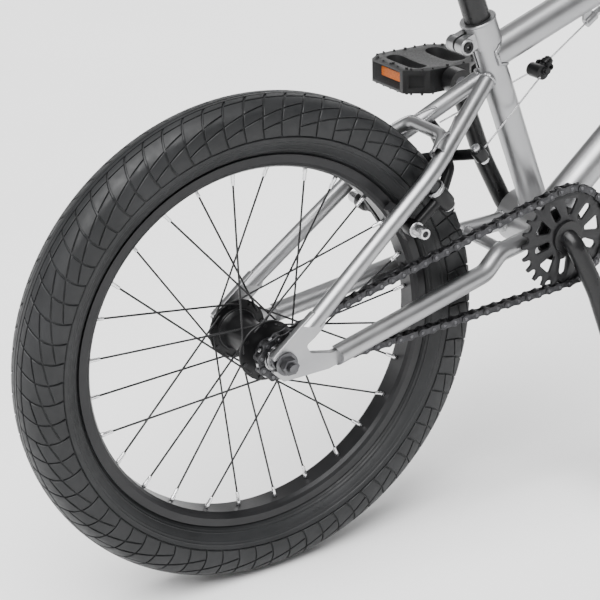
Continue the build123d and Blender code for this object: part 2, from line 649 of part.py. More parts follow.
def crank_bearings():
    ring = turned([(15.06, 25.0), (23.9, 25.0), (23.9, 33.0), (15.06, 33.0)])
    return [shape.moved(Location((CRANK_X, 0, CRANK_Z))) for shape in (ring, mirrored(ring))]


# ---------------------------------------------------------------- pedals
PEDAL_INNER = 84.0
PEDAL_OUTER = 169.0
PEDAL_HALF_LENGTH = 46.0
PEDAL_HALF_HEIGHT = 12.0


def pedal_axle(side):
    """Threaded into the crank eye on one side, turning inside the pedal on the other."""
    eye = crank_point(CRANK_LENGTH, 0, side)
    thread = cross_bar(eye.X, eye.Z, side * 64.5, side * 80.6, 6.3)
    flange = cross_bar(eye.X, eye.Z, side * 80.5, side * 83.6, 8.0)
    shaft = cross_bar(eye.X, eye.Z, side * 83.5, side * 160, 5.0)
    return thread + flange + shaft


def pedal_body(side):
    eye = crank_point(CRANK_LENGTH, 0, side)
    middle = (PEDAL_INNER + PEDAL_OUTER) / 2
    width = PEDAL_OUTER - PEDAL_INNER
    half = width / 2
    length = PEDAL_HALF_LENGTH
    outline = [(-length, -half + 16), (-length + 22, -half), (length - 22, -half), (length, -half + 16),
               (length, half - 12), (length - 16, half), (-length + 16, half), (-length, half - 12)]
    frame = extrude(make_face(Polyline(*outline, close=True)), PEDAL_HALF_HEIGHT, both=True)
    for sign in (-1, 1):
        opening = Pos(sign * 24, 0) * SlotOverall(58, 20, rotation=90)
        frame -= extrude(opening, 30, both=True)
        recess = Pos(sign * (length - 1.2), 4, 0) * Box(2.6, 40, 12)
        frame -= recess
    barrel = Solid.make_cylinder(9.5, width - 4, Plane(origin=(0, -half + 2, 0), z_dir=(0, 1, 0)))
    frame += barrel
    studs = []
    for x in (-length + 6, 0, length - 6):
        for y in (-half + 18, 0, half - 14):
            if x == 0 and y == 0:
                continue
            if x == 0:
                y = (half - 4) * (1 if y > 0 else -1)
            studs.append(Pos(x, y, 0) * Cylinder(1.6, 2 * PEDAL_HALF_HEIGHT + 4))
    frame += studs
    frame -= Solid.make_cylinder(5.0 + RUNNING_GAP, width * 2, Plane(origin=(0, -width, 0), z_dir=(0, 1, 0)))
    placed = frame.moved(Location((eye.X, middle, eye.Z)))
    return placed if side > 0 else mirrored(placed)


def pedal_reflectors(side):
    eye = crank_point(CRANK_LENGTH, 0, side)
    middle = side * ((PEDAL_INNER + PEDAL_OUTER) / 2 + 4)
    offset = PEDAL_HALF_LENGTH - 1.3
    return [Pos(eye.X + sign * offset, middle, eye.Z) * Box(2.3, 38, 10) for sign in (-1, 1)]


# ---------------------------------------------------------------- steering
def fork():
    """Steerer, crown, two tapered legs and dropout plates that carry the axle forward."""
    bottom = -HEAD_TUBE_LENGTH
    steerer = rod(steering(0, 0, bottom - 20), steering(0, 0, 52), STEERER_RADIUS)
    race = rod(steering(0, 0, bottom - 6), steering(0, 0, bottom - 0.3), 20.5)
    crown = rod(steering(0, -47, bottom - 22), steering(0, 47, bottom - 22), 15.5)
    body = steerer + race + crown
    axle = steering(FORK_OFFSET, 0, -AXLE_DROP)
    for side in (-1, 1):
        body += rod(steering(0, side * 47, bottom - 15), steering(13, side * 54, 14 - AXLE_DROP), 14.0, 8.5)
        body += Plane(origin=steering(0, side * 47, bottom - 15)) * Sphere(14.0)
        blade = make_face(Polyline((axle.X - 20, 33), (axle.X - 2, 30), (axle.X + 12, 4), (axle.X + 9, -12),
                                   (axle.X - 8, -13), (axle.X - 16, 0), close=True))
        tab = plate(blade, 50.5, 56.5)
        body += tab if side > 0 else mirrored(tab)
    for side in (-1, 1):
        body -= rod(steering(2, side * 48, bottom - 28), steering(12, side * 54, 26 - AXLE_DROP), 11.5, 6.7)
    body -= cross_bar(axle.X, axle.Z, -80, 80, AXLE_RADIUS)
    body -= rod(steering(0, 0, bottom - 60), steering(0, 0, 80), STEERER_RADIUS - 2.8)
    return body


def headset_cap():
    cap = rod(steering(0, 0, 0.3), steering(0, 0, 8), 22.0, 19.5)
    spacer = rod(steering(0, 0, 8), steering(0, 0, 12), 18.0)
    bore = rod(steering(0, 0, -2), steering(0, 0, 20), STEERER_RADIUS)
    return [cap - bore, spacer - bore]


BAR_CLAMP_FORWARD = 48.0
BAR_CLAMP_UP = 33.0
CLAMP_HALF_WIDTH = 25.0


def along_bar(half_width, radius):
    """A round bar along the middle of the handlebar clamp."""
    left = steering(BAR_CLAMP_FORWARD, half_width, BAR_CLAMP_UP)
    right = steering(BAR_CLAMP_FORWARD, -half_width, BAR_CLAMP_UP)
    return rod(right, left, radius)


def clamp_room(forward):
    """A block that cuts the bar clamp in two: the stem's half or the faceplate's half."""
    plane = Plane(origin=steering(forward, 0, BAR_CLAMP_UP), x_dir=HEAD_FORWARD, z_dir=HEAD_UP)
    return extrude(plane * Rectangle(30, 60), 30, both=True)


def stem():
    column = rod(steering(0, 0, 12), steering(0, 0, 54), 20.0)
    clamp = along_bar(CLAMP_HALF_WIDTH, 19.0)
    plane = Plane(origin=steering(24, 0, BAR_CLAMP_UP), x_dir=HEAD_FORWARD, z_dir=HEAD_UP)
    bridge = extrude(plane * Rectangle(40, 38), 15, both=True)
    faceplate_room = clamp_room(BAR_CLAMP_FORWARD + 15.3)
    steerer_bore = rod(steering(0, 0, 0), steering(0, 0, 60), STEERER_RADIUS)
    return column + clamp + bridge - faceplate_room - along_bar(40, BAR_RADIUS) - steerer_bore


def stem_faceplate():
    clamp = along_bar(CLAMP_HALF_WIDTH, 19.0)
    rear_room = clamp_room(BAR_CLAMP_FORWARD - 13.7)
    return clamp - rear_room - along_bar(40, BAR_RADIUS) - stem_bolts()[:4]


def stem_bolts():
    bolts = []
    for side in (-17, 17):
        for up in (-14.5, 14.5):
            start = steering(BAR_CLAMP_FORWARD + 12.6, side, BAR_CLAMP_UP + up)
            end = steering(BAR_CLAMP_FORWARD + 19.5, side, BAR_CLAMP_UP + up)
            bolts.append(rod(start, end, 3.8))
    cap = rod(steering(0, 0, 54), steering(0, 0, 58), 18.0)
    bolts.append(cap - rod(steering(0, 0, 55.5), steering(0, 0, 60), 3.0))
    return bolts


BAR_POINTS = [(0, 0, 0), (0, 62, 0), (0, 152, 196), (-34, BAR_HALF_WIDTH, BAR_RISE + 6)]


def bar_point(forward, side, up):
    return steering(BAR_CLAMP_FORWARD + forward, side, BAR_CLAMP_UP + up)


def handlebar():
    right = [bar_point(forward, -side, up) for forward, side, up in reversed(BAR_POINTS[1:])]
    left = [bar_point(*point) for point in BAR_POINTS[1:]]
    bar = bent_rod(right + left, BAR_RADIUS, [42, 42, 42, 42])
    hollow = bent_rod(right + left, BAR_RADIUS - BAR_WALL, [42, 42, 42, 42])
    height = 128.0
    reach = 62 + (152 - 62) * height / 196
    brace = tube(bar_point(0, -reach, height), bar_point(0, reach, height), 8.0)
    return bar + brace - hollow


def grip(side):
    """A sleeve on the last stretch of the bar, with a flange at its inner end."""
    inner = Vector(*BAR_POINTS[2])
    outer = Vector(*BAR_POINTS[3])
    along = (outer - inner).normalized()
    start = outer - along * 128

    def place(point):
        return bar_point(point.X, side * point.Y, point.Z)

    sleeve = rod(place(start), place(outer + along * 4), 15.2)
    flange = rod(place(start), place(start + along * 3.5), 22.0)
    return sleeve + flange - rod(place(start - along * 5), place(outer), BAR_RADIUS)


def lever_frame():
    """Where the lever sits on the right of the bar: clamp centre, inward direction."""
    inner = Vector(*BAR_POINTS[2])
    outer = Vector(*BAR_POINTS[3])
    along = (outer - inner).normalized()
    centre = outer - along * 142
    return centre, along


def lever_spot(inboard, forward, up):
    centre, along = lever_frame()
    across = Vector(1, 0, 0) - along * along.X
    across = across.normalized()
    upward = Vector(0, 0, 1) - along * along.Z - across * across.Z
    upward = upward.normalized()
    point = centre - along * inboard + across * forward + upward * up
    return bar_point(point.X, -point.Y, point.Z)


def lever_clamp():
    band = rod(lever_spot(-6, 0, 0), lever_spot(8, 0, 0), 15.0)
    band -= rod(lever_spot(-9, 0, 0), lever_spot(12, 0, 0), BAR_RADIUS)
    arm = rod(lever_spot(1, 12.5, -2), lever_spot(4, 36, -8), 6.0)
    knuckle = rod(lever_spot(4, 36, -16.5), lever_spot(4, 36, -2.2), 8.0)
    slot = rod(lever_spot(4, 36, -12.6), lever_spot(4, 36, -5.8), 14.0)
    barrel = rod(lever_spot(14, 21, -5), lever_spot(30, 21, -5), 4.0)
    boss = rod(lever_spot(-2, 21, -5), lever_spot(16, 21, -5), 5.5)
    bore = rod(lever_spot(4, 36, -20), lever_spot(4, 36, 2), 2.5)
    return band + (arm + knuckle - slot) + boss + barrel - bore


def brake_lever():
    """The blade with its pivot pin, reaching along the grip."""
    hub_body = rod(lever_spot(4, 36, -12.3), lever_spot(4, 36, -6.1), 6.5)
    pin = rod(lever_spot(4, 36, -18), lever_spot(4, 36, -0.5), 2.45)
    points = [lever_spot(inboard, forward, -9.2) for inboard, forward in ((2, 38), (-24, 54), (-62, 52), (-104, 66))]
    blade = bent_rod(points, 3.0, [16, 60])
    ball = Plane(origin=lever_spot(-104, 66, -9.2)) * Sphere(5.0)
    return hub_body + pin + blade + ball


# ---------------------------------------------------------------- seat
POST_BOTTOM = 128.0
POST_TOP = 312.0


def seat_post():
    post = rod(seat_axis(POST_BOTTOM), seat_axis(POST_TOP), POST_RADIUS)
    head = cross_bar(seat_axis(POST_TOP).X, seat_axis(POST_TOP).Z, -13, 13, 13.5)
    hollow = rod(seat_axis(POST_BOTTOM - 2), seat_axis(POST_TOP - 20), POST_RADIUS - 2)
    bolt_bore = cross_bar(seat_axis(POST_TOP).X, seat_axis(POST_TOP).Z, -20, 20, 4.05)
    return post + head - hollow - bolt_bore


SEAT_HALF_OUTLINE = [
    (133, 0), (118, 16), (70, 24), (20, 31), (-30, 47), (-75, 64), (-110, 56), (-128, 28), (-132, 0),
]


def seat_outline(grow=0.0):
    """Plan of the seat, nose forward, about the pivot."""
    middle = len(SEAT_HALF_OUTLINE) - 1
    left = [(x * (1 + grow / 133), y * (1 + grow / 64)) for x, y in SEAT_HALF_OUTLINE]
    right = [(x, -y) for x, y in reversed(left[1:middle])]
    return make_face(Spline(*left, *right, periodic=True))


SEAT_TILT = 9.0


def seat_plane(up):
    pivot = seat_axis(POST_TOP)
    tilt = radians(SEAT_TILT)
    forward = Vector(cos(tilt), 0, sin(tilt))
    upward = Vector(-sin(tilt), 0, cos(tilt))
    return Plane(origin=pivot + upward * up, x_dir=forward, z_dir=upward)


def seat_shell():
    base = extrude(seat_plane(22) * seat_outline(-6), 6)
    pivot = seat_axis(POST_TOP)
    ears = cross_bar(pivot.X, pivot.Z, 13.4, 19, 12) + cross_bar(pivot.X, pivot.Z, -19, -13.4, 12)
    risers = [extrude(seat_plane(0) * Pos(0, side * 16.2) * Rectangle(22, 5.6), 23) for side in (-1, 1)]
    bolt = cross_bar(pivot.X, pivot.Z, -22, 22, 4.0)
    return base + ears + risers + bolt


def seat_cover():
    layers = [(28.2, -3), (36, 0), (46, -2), (53, -12), (56, -30)]
    return loft([seat_plane(up) * seat_outline(grow) for up, grow in layers])


# ---------------------------------------------------------------- write everything
def build_frame():
    cutters = frame_cutters()
    top, down = main_tubes(cutters)
    seatstay, chainstay = stays(cutters)
    seatstay_solid = bent_rod(SEATSTAY_POINTS, SEATSTAY_RADIUS, 160)
    chainstay_solid = bent_rod(CHAINSTAY_POINTS, CHAINSTAY_RADIUS, [26, 26])
    end_plate = dropout()
    seatstay = largest(seatstay - end_plate)
    chainstay = largest(chainstay - end_plate)
    shell = cutters["shell"] - cross_bar(CRANK_X, CRANK_Z, -60, 60, SHELL_BORE)
    write("head_tube", head_tube())
    write("top_tube", top)
    write("down_tube", down)
    write("seat_tube", seat_tube())
    write("bottom_bracket_shell", shell)
    write("seatstays", seatstay, mirrored(seatstay))
    write("chainstays", chainstay, mirrored(chainstay))
    write("dropouts", end_plate, mirrored(end_plate))
    upper_bridge = largest(seatstay_bridge(seatstay_solid))
    lower_bridge = largest(chainstay_bridge(chainstay_solid))
    write("stay_bridges", upper_bridge, lower_bridge)
    write("brake_posts", *brake_posts(seatstay_solid))
    write("cable_stop", cable_stop())
    write("clamp_bolt", clamp_bolt())
    write("headset_bearings", *headset_bearings())
    write("bottom_bracket_cups", *bracket_cups())
    write("crank_bearings", *crank_bearings())
    axle_and_nuts("rear", 0, DROPOUT_INNER, DROPOUT_OUTER, 76)


def build_drive():
    write("driver_cog", driver())
    write("crank", crank())
    write("sprocket", sprocket())
    write("chain", *chain())
    write("pedal_axles", pedal_axle(-1), pedal_axle(1))
    for name, side in (("left", 1), ("right", -1)):
        write(f"{name}_pedal", pedal_body(side))
        write(f"{name}_pedal_reflectors", *pedal_reflectors(side))


def build_brake():
    write("right_brake_arm", brake_arm(RIGHT_ARM_LEVEL))
    write("left_brake_arm", mirrored(brake_arm(LEFT_ARM_LEVEL)))
    write("right_brake_pad", brake_pad())
    write("left_brake_pad", mirrored(brake_pad()))
    write("cable_hanger", cable_hanger())
    write("straddle_wire", straddle_wire())
    write("inner_cable", inner_cable())
    write("brake_housing", brake_housing())


def build_steering():
    write("fork", fork())
    write("headset_cap", *headset_cap())
    write("stem", stem())
    write("stem_faceplate", stem_faceplate())
    write("stem_bolts", *stem_bolts())
    write("handlebar", handlebar())
    write("left_grip", grip(1))
    write("right_grip", grip(-1))
    write("lever_clamp", lever_clamp())
    write("brake_lever", brake_lever())
    axle_and_nuts("front", FRONT_AXLE_X, 50.5, 56.5, 71)


def build_seat():
    write("seat_post", seat_post())
    write("seat_shell", seat_shell())
    write("seat_cover", seat_cover())


build_frame()
wheel("rear", 0, -26, 33, 29.5, 17, -33.8, 48.5)
wheel("front", FRONT_AXLE_X, -31, 31, 21, 13, -44, 44)
build_drive()
build_brake()
build_steering()
build_seat()
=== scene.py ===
import json
import math
from contextlib import contextmanager

import bmesh
import bpy
import numpy as np
from mathutils import Matrix, Vector
from mathutils.bvhtree import BVHTree


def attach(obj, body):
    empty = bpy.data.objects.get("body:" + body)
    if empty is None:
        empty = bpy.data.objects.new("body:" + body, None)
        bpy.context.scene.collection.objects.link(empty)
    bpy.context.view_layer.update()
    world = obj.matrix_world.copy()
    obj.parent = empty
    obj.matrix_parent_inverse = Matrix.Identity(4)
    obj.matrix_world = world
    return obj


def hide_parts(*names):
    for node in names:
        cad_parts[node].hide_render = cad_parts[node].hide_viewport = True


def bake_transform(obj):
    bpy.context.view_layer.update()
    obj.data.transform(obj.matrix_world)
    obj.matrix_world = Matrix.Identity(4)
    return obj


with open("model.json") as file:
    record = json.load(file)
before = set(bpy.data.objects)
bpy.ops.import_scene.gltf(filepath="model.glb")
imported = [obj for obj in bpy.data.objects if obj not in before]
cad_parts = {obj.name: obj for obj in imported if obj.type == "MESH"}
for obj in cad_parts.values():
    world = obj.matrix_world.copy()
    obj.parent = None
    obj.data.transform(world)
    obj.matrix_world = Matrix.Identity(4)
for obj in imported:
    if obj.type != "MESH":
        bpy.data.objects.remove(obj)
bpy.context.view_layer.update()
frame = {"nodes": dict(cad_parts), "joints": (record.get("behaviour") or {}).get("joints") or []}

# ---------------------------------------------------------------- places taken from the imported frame
MM = 0.001
JOINT = {joint["name"]: joint for joint in frame["joints"]}
PIVOT = {name: np.array(joint["pos_m"]) for name, joint in JOINT.items() if "pos_m" in joint}
REAR_AXLE = PIVOT["rear_wheel_spin"]
FRONT_AXLE = PIVOT["front_wheel_spin"]
CRANK_AXLE = PIVOT["crank_spin"]
HEAD_TOP = PIVOT["steering"]
HEAD_UP = np.array(JOINT["steering"]["axis"])
SEAT_UP = np.array(JOINT["seat_post_slide"]["axis"])
SIDE = np.array((0.0, 1.0, 0.0))

TYRE_RADIUS = 238.5
TYRE_HALF_WIDTH = 28.5
RIM_INNER_RADIUS = 171.3
SPOKES = 28
NIPPLE_PHASE = 82.1
SPOKE_CROSSINGS = 3
TREAD_PITCHES = 72
VALVE_SPACES = 5.5      # spoke spaces from the first nipple back to the valve
HUB_BORE = 4.85
NECK_TO_SHELL = 0.72


# ---------------------------------------------------------------- helpers
def unit(vector):
    """The vector, or each row of vectors, made one long."""
    vector = np.asarray(vector, float)
    return vector / np.linalg.norm(vector, axis=-1, keepdims=True)


def square_to(way, hint, spare, least=0.1):
    """A unit vector square to way and hint, or to way and spare where way runs nearly along hint."""
    across = np.cross(way, hint)
    return unit(np.cross(way, spare) if np.linalg.norm(across) < least else across)


def full_turn(count):
    return np.linspace(0, 2 * math.pi, count, endpoint=False)


def circle(turn, across, other):
    return np.outer(np.cos(turn), across) + np.outer(np.sin(turn), other)


def tube_rings(path, steps, radii, across, sides):
    """A ring of points about each point of a path, twisting as little as it can between them."""
    rings = []
    for point, step, radius in zip(path, steps, radii):
        across = unit(across - step * across.dot(step))
        rings.append(point + radius * circle(full_turn(sides), across, np.cross(step, across)))
    return np.array(rings)


def add_object(name, data):
    item = bpy.data.objects.new(name, data)
    bpy.context.scene.collection.objects.link(item)
    return item


def evaluated_mesh(piece):
    graph = bpy.context.evaluated_depsgraph_get()
    return bpy.data.meshes.new_from_object(piece.evaluated_get(graph))


def points_of(mesh):
    points = np.empty(len(mesh.vertices) * 3)
    mesh.vertices.foreach_get("co", points)
    return points.reshape(-1, 3)


def move_points(mesh, points):
    mesh.vertices.foreach_set("co", points.ravel())
    mesh.update()


@contextmanager
def editing(mesh):
    """The mesh opened for editing, then written back."""
    edit = bmesh.new()
    edit.from_mesh(mesh)
    yield edit
    edit.to_mesh(mesh)
    edit.free()


def weld_points(edit):
    bmesh.ops.remove_doubles(edit, verts=edit.verts, dist=1e-6)


def ease_edges(mesh, width, segments, angle, flat_angle=0.5):
    """Round the edges sharper than angle degrees by width millimetres."""
    with editing(mesh) as edit:
        weld_points(edit)
        bmesh.ops.dissolve_limit(edit, angle_limit=math.radians(flat_angle), verts=edit.verts, edges=edit.edges)
        sharp = [edge for edge in edit.edges
                 if edge.is_manifold and edge.calc_face_angle(0) > math.radians(angle)]
        bmesh.ops.bevel(edit, geom=sharp, offset=width * MM, segments=segments, profile=0.5,
                        affect="EDGES", clamp_overlap=True)
    for attribute in ("sharp_edge", "sharp_face", "custom_normal"):
        if attribute in mesh.attributes:
            mesh.attributes.remove(mesh.attributes[attribute])


# ---------------------------------------------------------------- mesh building
class Shape:
    """Collects points and faces in metres, then becomes one object."""

    def __init__(self):
        self.points, self.faces, self.count = [], [], 0

    def add(self, points, faces):
        points = np.asarray(points, float).reshape(-1, 3)
        self.points.append(points)
        self.faces.extend([tuple(index + self.count for index in face) for face in faces])
        self.count += len(points)

    def grid(self, points, close_u=False, close_v=False, flip=False):
        """A sheet of quads over points[u][v]."""
        rows, columns = points.shape[:2]
        faces = []
        for u in range(rows if close_u else rows - 1):
            for v in range(columns if close_v else columns - 1):
                u2, v2 = (u + 1) % rows, (v + 1) % columns
                face = (u * columns + v, u2 * columns + v, u2 * columns + v2, u * columns + v2)
                faces.append(face[::-1] if flip else face)
        self.add(points, faces)

    def sweep(self, path, radii, sides=12):
        """A capped round tube along a path; radii is one number or one for each point."""
        path = np.asarray(path, float)
        radii = np.broadcast_to(radii, len(path))
        steps = unit(np.gradient(path, axis=0))
        across = square_to(steps[0], (0, 0, 1), (0, 1, 0))
        self.grid(tube_rings(path, steps, radii, across, sides), close_v=True, flip=True)
        start = self.count - len(path) * sides
        self.faces.append(tuple(range(start, start + sides)))
        self.faces.append(tuple(range(self.count - 1, self.count - sides - 1, -1)))

    def lathe(self, profile, centre, axis, sides=48, close=False):
        """A surface turned about an axis from (radius, along) points in millimetres."""
        axis = unit(axis)
        across = square_to(axis, (0, 0, 1), (1, 0, 0))
        around = circle(full_turn(sides), across, np.cross(axis, across))
        rings = [np.asarray(centre) + (radius * around + along * axis) * MM for radius, along in profile]
        self.grid(np.array(rings), close_u=close, close_v=True)
        if not close:
            start = self.count - len(rings) * sides
            self.faces.append(tuple(range(start + sides - 1, start - 1, -1)))
            self.faces.append(tuple(range(self.count - sides, self.count)))

    def prism(self, inner, outer, flip=False):
        """A block between two matching outlines."""
        if flip:
            inner, outer = inner[::-1], outer[::-1]
        self.grid(np.array((inner, outer)), close_v=True)
        count = len(inner)
        start = self.count - 2 * count
        self.faces.append(tuple(range(start + count - 1, start - 1, -1)))
        self.faces.append(tuple(range(start + count, start + 2 * count)))

    def mesh(self, name):
        mesh = bpy.data.meshes.new(name)
        mesh.from_pydata(np.vstack(self.points).tolist(), [], self.faces)
        mesh.validate()
        return mesh

    def build(self, name, material, body, replaces=(), slot=None, smooth_angle=35):
        return settle(self.mesh(name), name, material, body, replaces, smooth_angle)


def settle(mesh, name, material, body, replaces=(), smooth_angle=35):
    """Give a mesh its object, material, shading and body."""
    mesh.validate()
    piece = add_object(name, mesh)
    mesh.materials.clear()
    mesh.materials.append(material)
    mesh.shade_smooth()
    mesh.set_sharp_from_angle(angle=math.radians(smooth_angle))
    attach(piece, body)
    if replaces:
        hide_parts(*replaces)
    return piece


def softened(node, name, material, body, width, segments, angle):
    """A copy of a CAD node with its sharp edges rounded by width millimetres."""
    mesh = frame["nodes"][node].data.copy()
    ease_edges(mesh, width, segments, angle)
    return settle(mesh, name, material, body, replaces=(node,))


def arc(start, middle, end, count):
    """Points on the circle through three (radius, y) points."""
    (ax, ay), (bx, by), (cx, cy) = start, middle, end
    twice = 2 * (ax * (by - cy) + bx * (cy - ay) + cx * (ay - by))
    a2, b2, c2 = ax * ax + ay * ay, bx * bx + by * by, cx * cx + cy * cy
    x = (a2 * (by - cy) + b2 * (cy - ay) + c2 * (ay - by)) / twice
    y = (a2 * (cx - bx) + b2 * (ax - cx) + c2 * (bx - ax)) / twice
    angles = np.unwrap([math.atan2(py - y, px - x) for px, py in (start, middle, end)])
    sweep = np.linspace(angles[0], angles[2], count)
    radius = math.hypot(ax - x, ay - y)
    return np.column_stack((x + radius * np.cos(sweep), y + radius * np.sin(sweep)))


def around_y(radius, y, angle, centre):
    """A point on a wheel: radius and y in millimetres, angle in degrees from +X towards +Z."""
    turn = np.radians(angle)
    local = np.stack(np.broadcast_arrays(radius * np.cos(turn), y, radius * np.sin(turn)), axis=-1)
    return np.asarray(centre) + local * MM


# ---------------------------------------------------------------- materials
def new_material(name, colour, roughness, metallic=0.0, coat=0.0, coat_roughness=0.05, sheen=0.0,
                 specular=0.5):
    material = bpy.data.materials.new(name)
    material.use_nodes = True
    shader = material.node_tree.nodes["Principled BSDF"]
    for socket, value in (
            ("Base Color", (*colour, 1)), ("Roughness", roughness), ("Metallic", metallic),
            ("Coat Weight", coat), ("Coat Roughness", coat_roughness), ("Sheen Weight", sheen),
            ("Specular IOR Level", specular)):
        shader.inputs[socket].default_value = value
    return material


def noise(material, scale, detail=4.0, stretch=(1, 1, 1)):
    """A noise texture over the object's own coordinates, in metres."""
    nodes, links = material.node_tree.nodes, material.node_tree.links
    place = nodes.new("ShaderNodeTexCoord")
    mapping = nodes.new("ShaderNodeMapping")
    mapping.inputs["Scale"].default_value = stretch
    texture = nodes.new("ShaderNodeTexNoise")
    texture.inputs["Scale"].default_value = scale
    texture.inputs["Detail"].default_value = detail
    links.new(place.outputs["Object"], mapping.inputs["Vector"])
    links.new(mapping.outputs["Vector"], texture.inputs["Vector"])
    return texture.outputs["Fac"]


def vary(material, socket, source, low, high):
    """Drive a colour or a roughness between two values from a 0 to 1 source."""
    nodes, links = material.node_tree.nodes, material.node_tree.links
    ramp = nodes.new("ShaderNodeValToRGB")
    for element, position, value in zip(ramp.color_ramp.elements, (0.3, 0.7), (low, high)):
        element.position = position
        element.color = (*value, 1) if isinstance(value, tuple) else (value, value, value, 1)
    links.new(source, ramp.inputs["Fac"])
    links.new(ramp.outputs["Color"], nodes["Principled BSDF"].inputs[socket])


def bump(material, source, strength, distance):
    """Raise the surface by distance metres from a 0 to 1 source, on top of any bump already there."""
    nodes, links = material.node_tree.nodes, material.node_tree.links
    normal = nodes["Principled BSDF"].inputs["Normal"]
    node = nodes.new("ShaderNodeBump")
    node.inputs["Strength"].default_value = strength
    node.inputs["Distance"].default_value = distance
    if normal.is_linked:
        links.new(normal.links[0].from_socket, node.inputs["Normal"])
    links.new(source, node.inputs["Height"])
    links.new(node.outputs["Normal"], normal)


def finish(name, colour, roughness, tones=None, gloss=None, relief=None, **look):
    """A material whose colour, roughness and height each follow their own noise."""
    material = new_material(name, colour, roughness, **look)
    for socket, entry in (("Base Color", tones), ("Roughness", gloss)):
        if entry:
            grain, low, high = entry
            vary(material, socket, noise(material, *grain), low, high)
    if relief:
        grain, strength, distance = relief
        bump(material, noise(material, *grain), strength, distance)
    return material


def seat_cloth():
    """A plain woven cover: two crossed wave textures."""
    material = new_material("seat_cloth", (0.014, 0.014, 0.015), 0.85, sheen=0.08)
    nodes, links = material.node_tree.nodes, material.node_tree.links
    place = nodes.new("ShaderNodeTexCoord")
    weave = None
    for direction in ("X", "Y"):
        wave = nodes.new("ShaderNodeTexWave")
        wave.bands_direction = direction
        wave.inputs["Scale"].default_value = 420
        wave.inputs["Distortion"].default_value = 0.6
        links.new(place.outputs["Object"], wave.inputs["Vector"])
        if weave is None:
            weave = wave.outputs["Fac"]
        else:
            mix = nodes.new("ShaderNodeMath")
            mix.operation = "MAXIMUM"
            links.new(weave, mix.inputs[0])
            links.new(wave.outputs["Fac"], mix.inputs[1])
            weave = mix.outputs["Value"]
    vary(material, "Base Color", weave, (0.006, 0.006, 0.007), (0.022, 0.022, 0.024))
    bump(material, weave, 0.5, 0.0003)
    return material


SILVER = finish("silver_paint", (0.33, 0.33, 0.34), 0.3, metallic=1.0, coat=0.1, coat_roughness=0.1,
    tones=((14, 2), (0.31, 0.312, 0.32), (0.35, 0.35, 0.355)), gloss=((60, 3), 0.35, 0.42),
    relief=((60, 2), 0.05, 0.0001))
TYRE = finish("tyre_rubber", (0.01, 0.0105, 0.011), 0.5, specular=0.32,
    tones=((22, 5), (0.0075, 0.008, 0.0085), (0.014, 0.0145, 0.0155)), gloss=((160, 5), 0.42, 0.58),
    relief=((1500, 3), 0.3, 0.00012))
RUBBER = finish("black_rubber", (0.011, 0.011, 0.012), 0.6, specular=0.35, gloss=((300, 4), 0.5, 0.72),
    relief=((1800, 3), 0.4, 0.0001))
PAINT = finish("black_paint", (0.006, 0.006, 0.0065), 0.3, specular=0.35, gloss=((240, 4), 0.26, 0.4),
    relief=((700, 3), 0.2, 0.00008))
ALLOY = finish("black_alloy", (0.012, 0.012, 0.013), 0.36, metallic=0.3, specular=0.4,
    gloss=((300, 4, (1, 6, 1)), 0.3, 0.44), tones=((30, 3), (0.01, 0.01, 0.011), (0.017, 0.017, 0.018)))
GLOSS = finish("gloss_black", (0.005, 0.005, 0.0055), 0.36, coat=0.06, coat_roughness=0.15, specular=0.22,
    gloss=((60, 3), 0.32, 0.42))
STEEL = finish("plain_steel", (0.52, 0.52, 0.53), 0.28, metallic=1.0,
    gloss=((500, 4, (1, 8, 1)), 0.2, 0.38), tones=((80, 3), (0.42, 0.42, 0.43), (0.58, 0.58, 0.59)),
    relief=((1400, 2), 0.1, 0.00004))
DARK = finish("dark_steel", (0.09, 0.09, 0.095), 0.34, metallic=0.95, gloss=((500, 4), 0.26, 0.45),
    tones=((120, 3), (0.07, 0.07, 0.075), (0.12, 0.12, 0.125)))
SPOKE = finish("spoke_black", (0.02, 0.02, 0.021), 0.32, metallic=0.6, gloss=((400, 3), 0.26, 0.42))
NIPPLE = finish("nipple_silver", (0.78, 0.78, 0.79), 0.22, metallic=1.0, gloss=((900, 3), 0.16, 0.34))
CHAIN = finish("chain_steel", (0.04, 0.04, 0.042), 0.36, metallic=0.85,
    tones=((260, 4), (0.025, 0.025, 0.027), (0.06, 0.06, 0.063)), gloss=((400, 4), 0.28, 0.44))
PLASTIC = finish("moulded_plastic", (0.011, 0.011, 0.0115), 0.42, specular=0.4, gloss=((500, 4), 0.42, 0.6),
    relief=((2200, 3), 0.3, 0.00008))
AMBER = finish("amber_plastic", (0.5, 0.1, 0.002), 0.35, specular=0.2,
    tones=((700, 1), (0.36, 0.06, 0.001), (0.6, 0.15, 0.003)), relief=((700, 1), 0.5, 0.0004))
CLOTH = seat_cloth()
THREAD = finish("stitch_thread", (0.05, 0.05, 0.052), 0.6, sheen=0.2,
    tones=((2400, 2, (1, 4, 1)), (0.035, 0.035, 0.037), (0.075, 0.075, 0.078)))

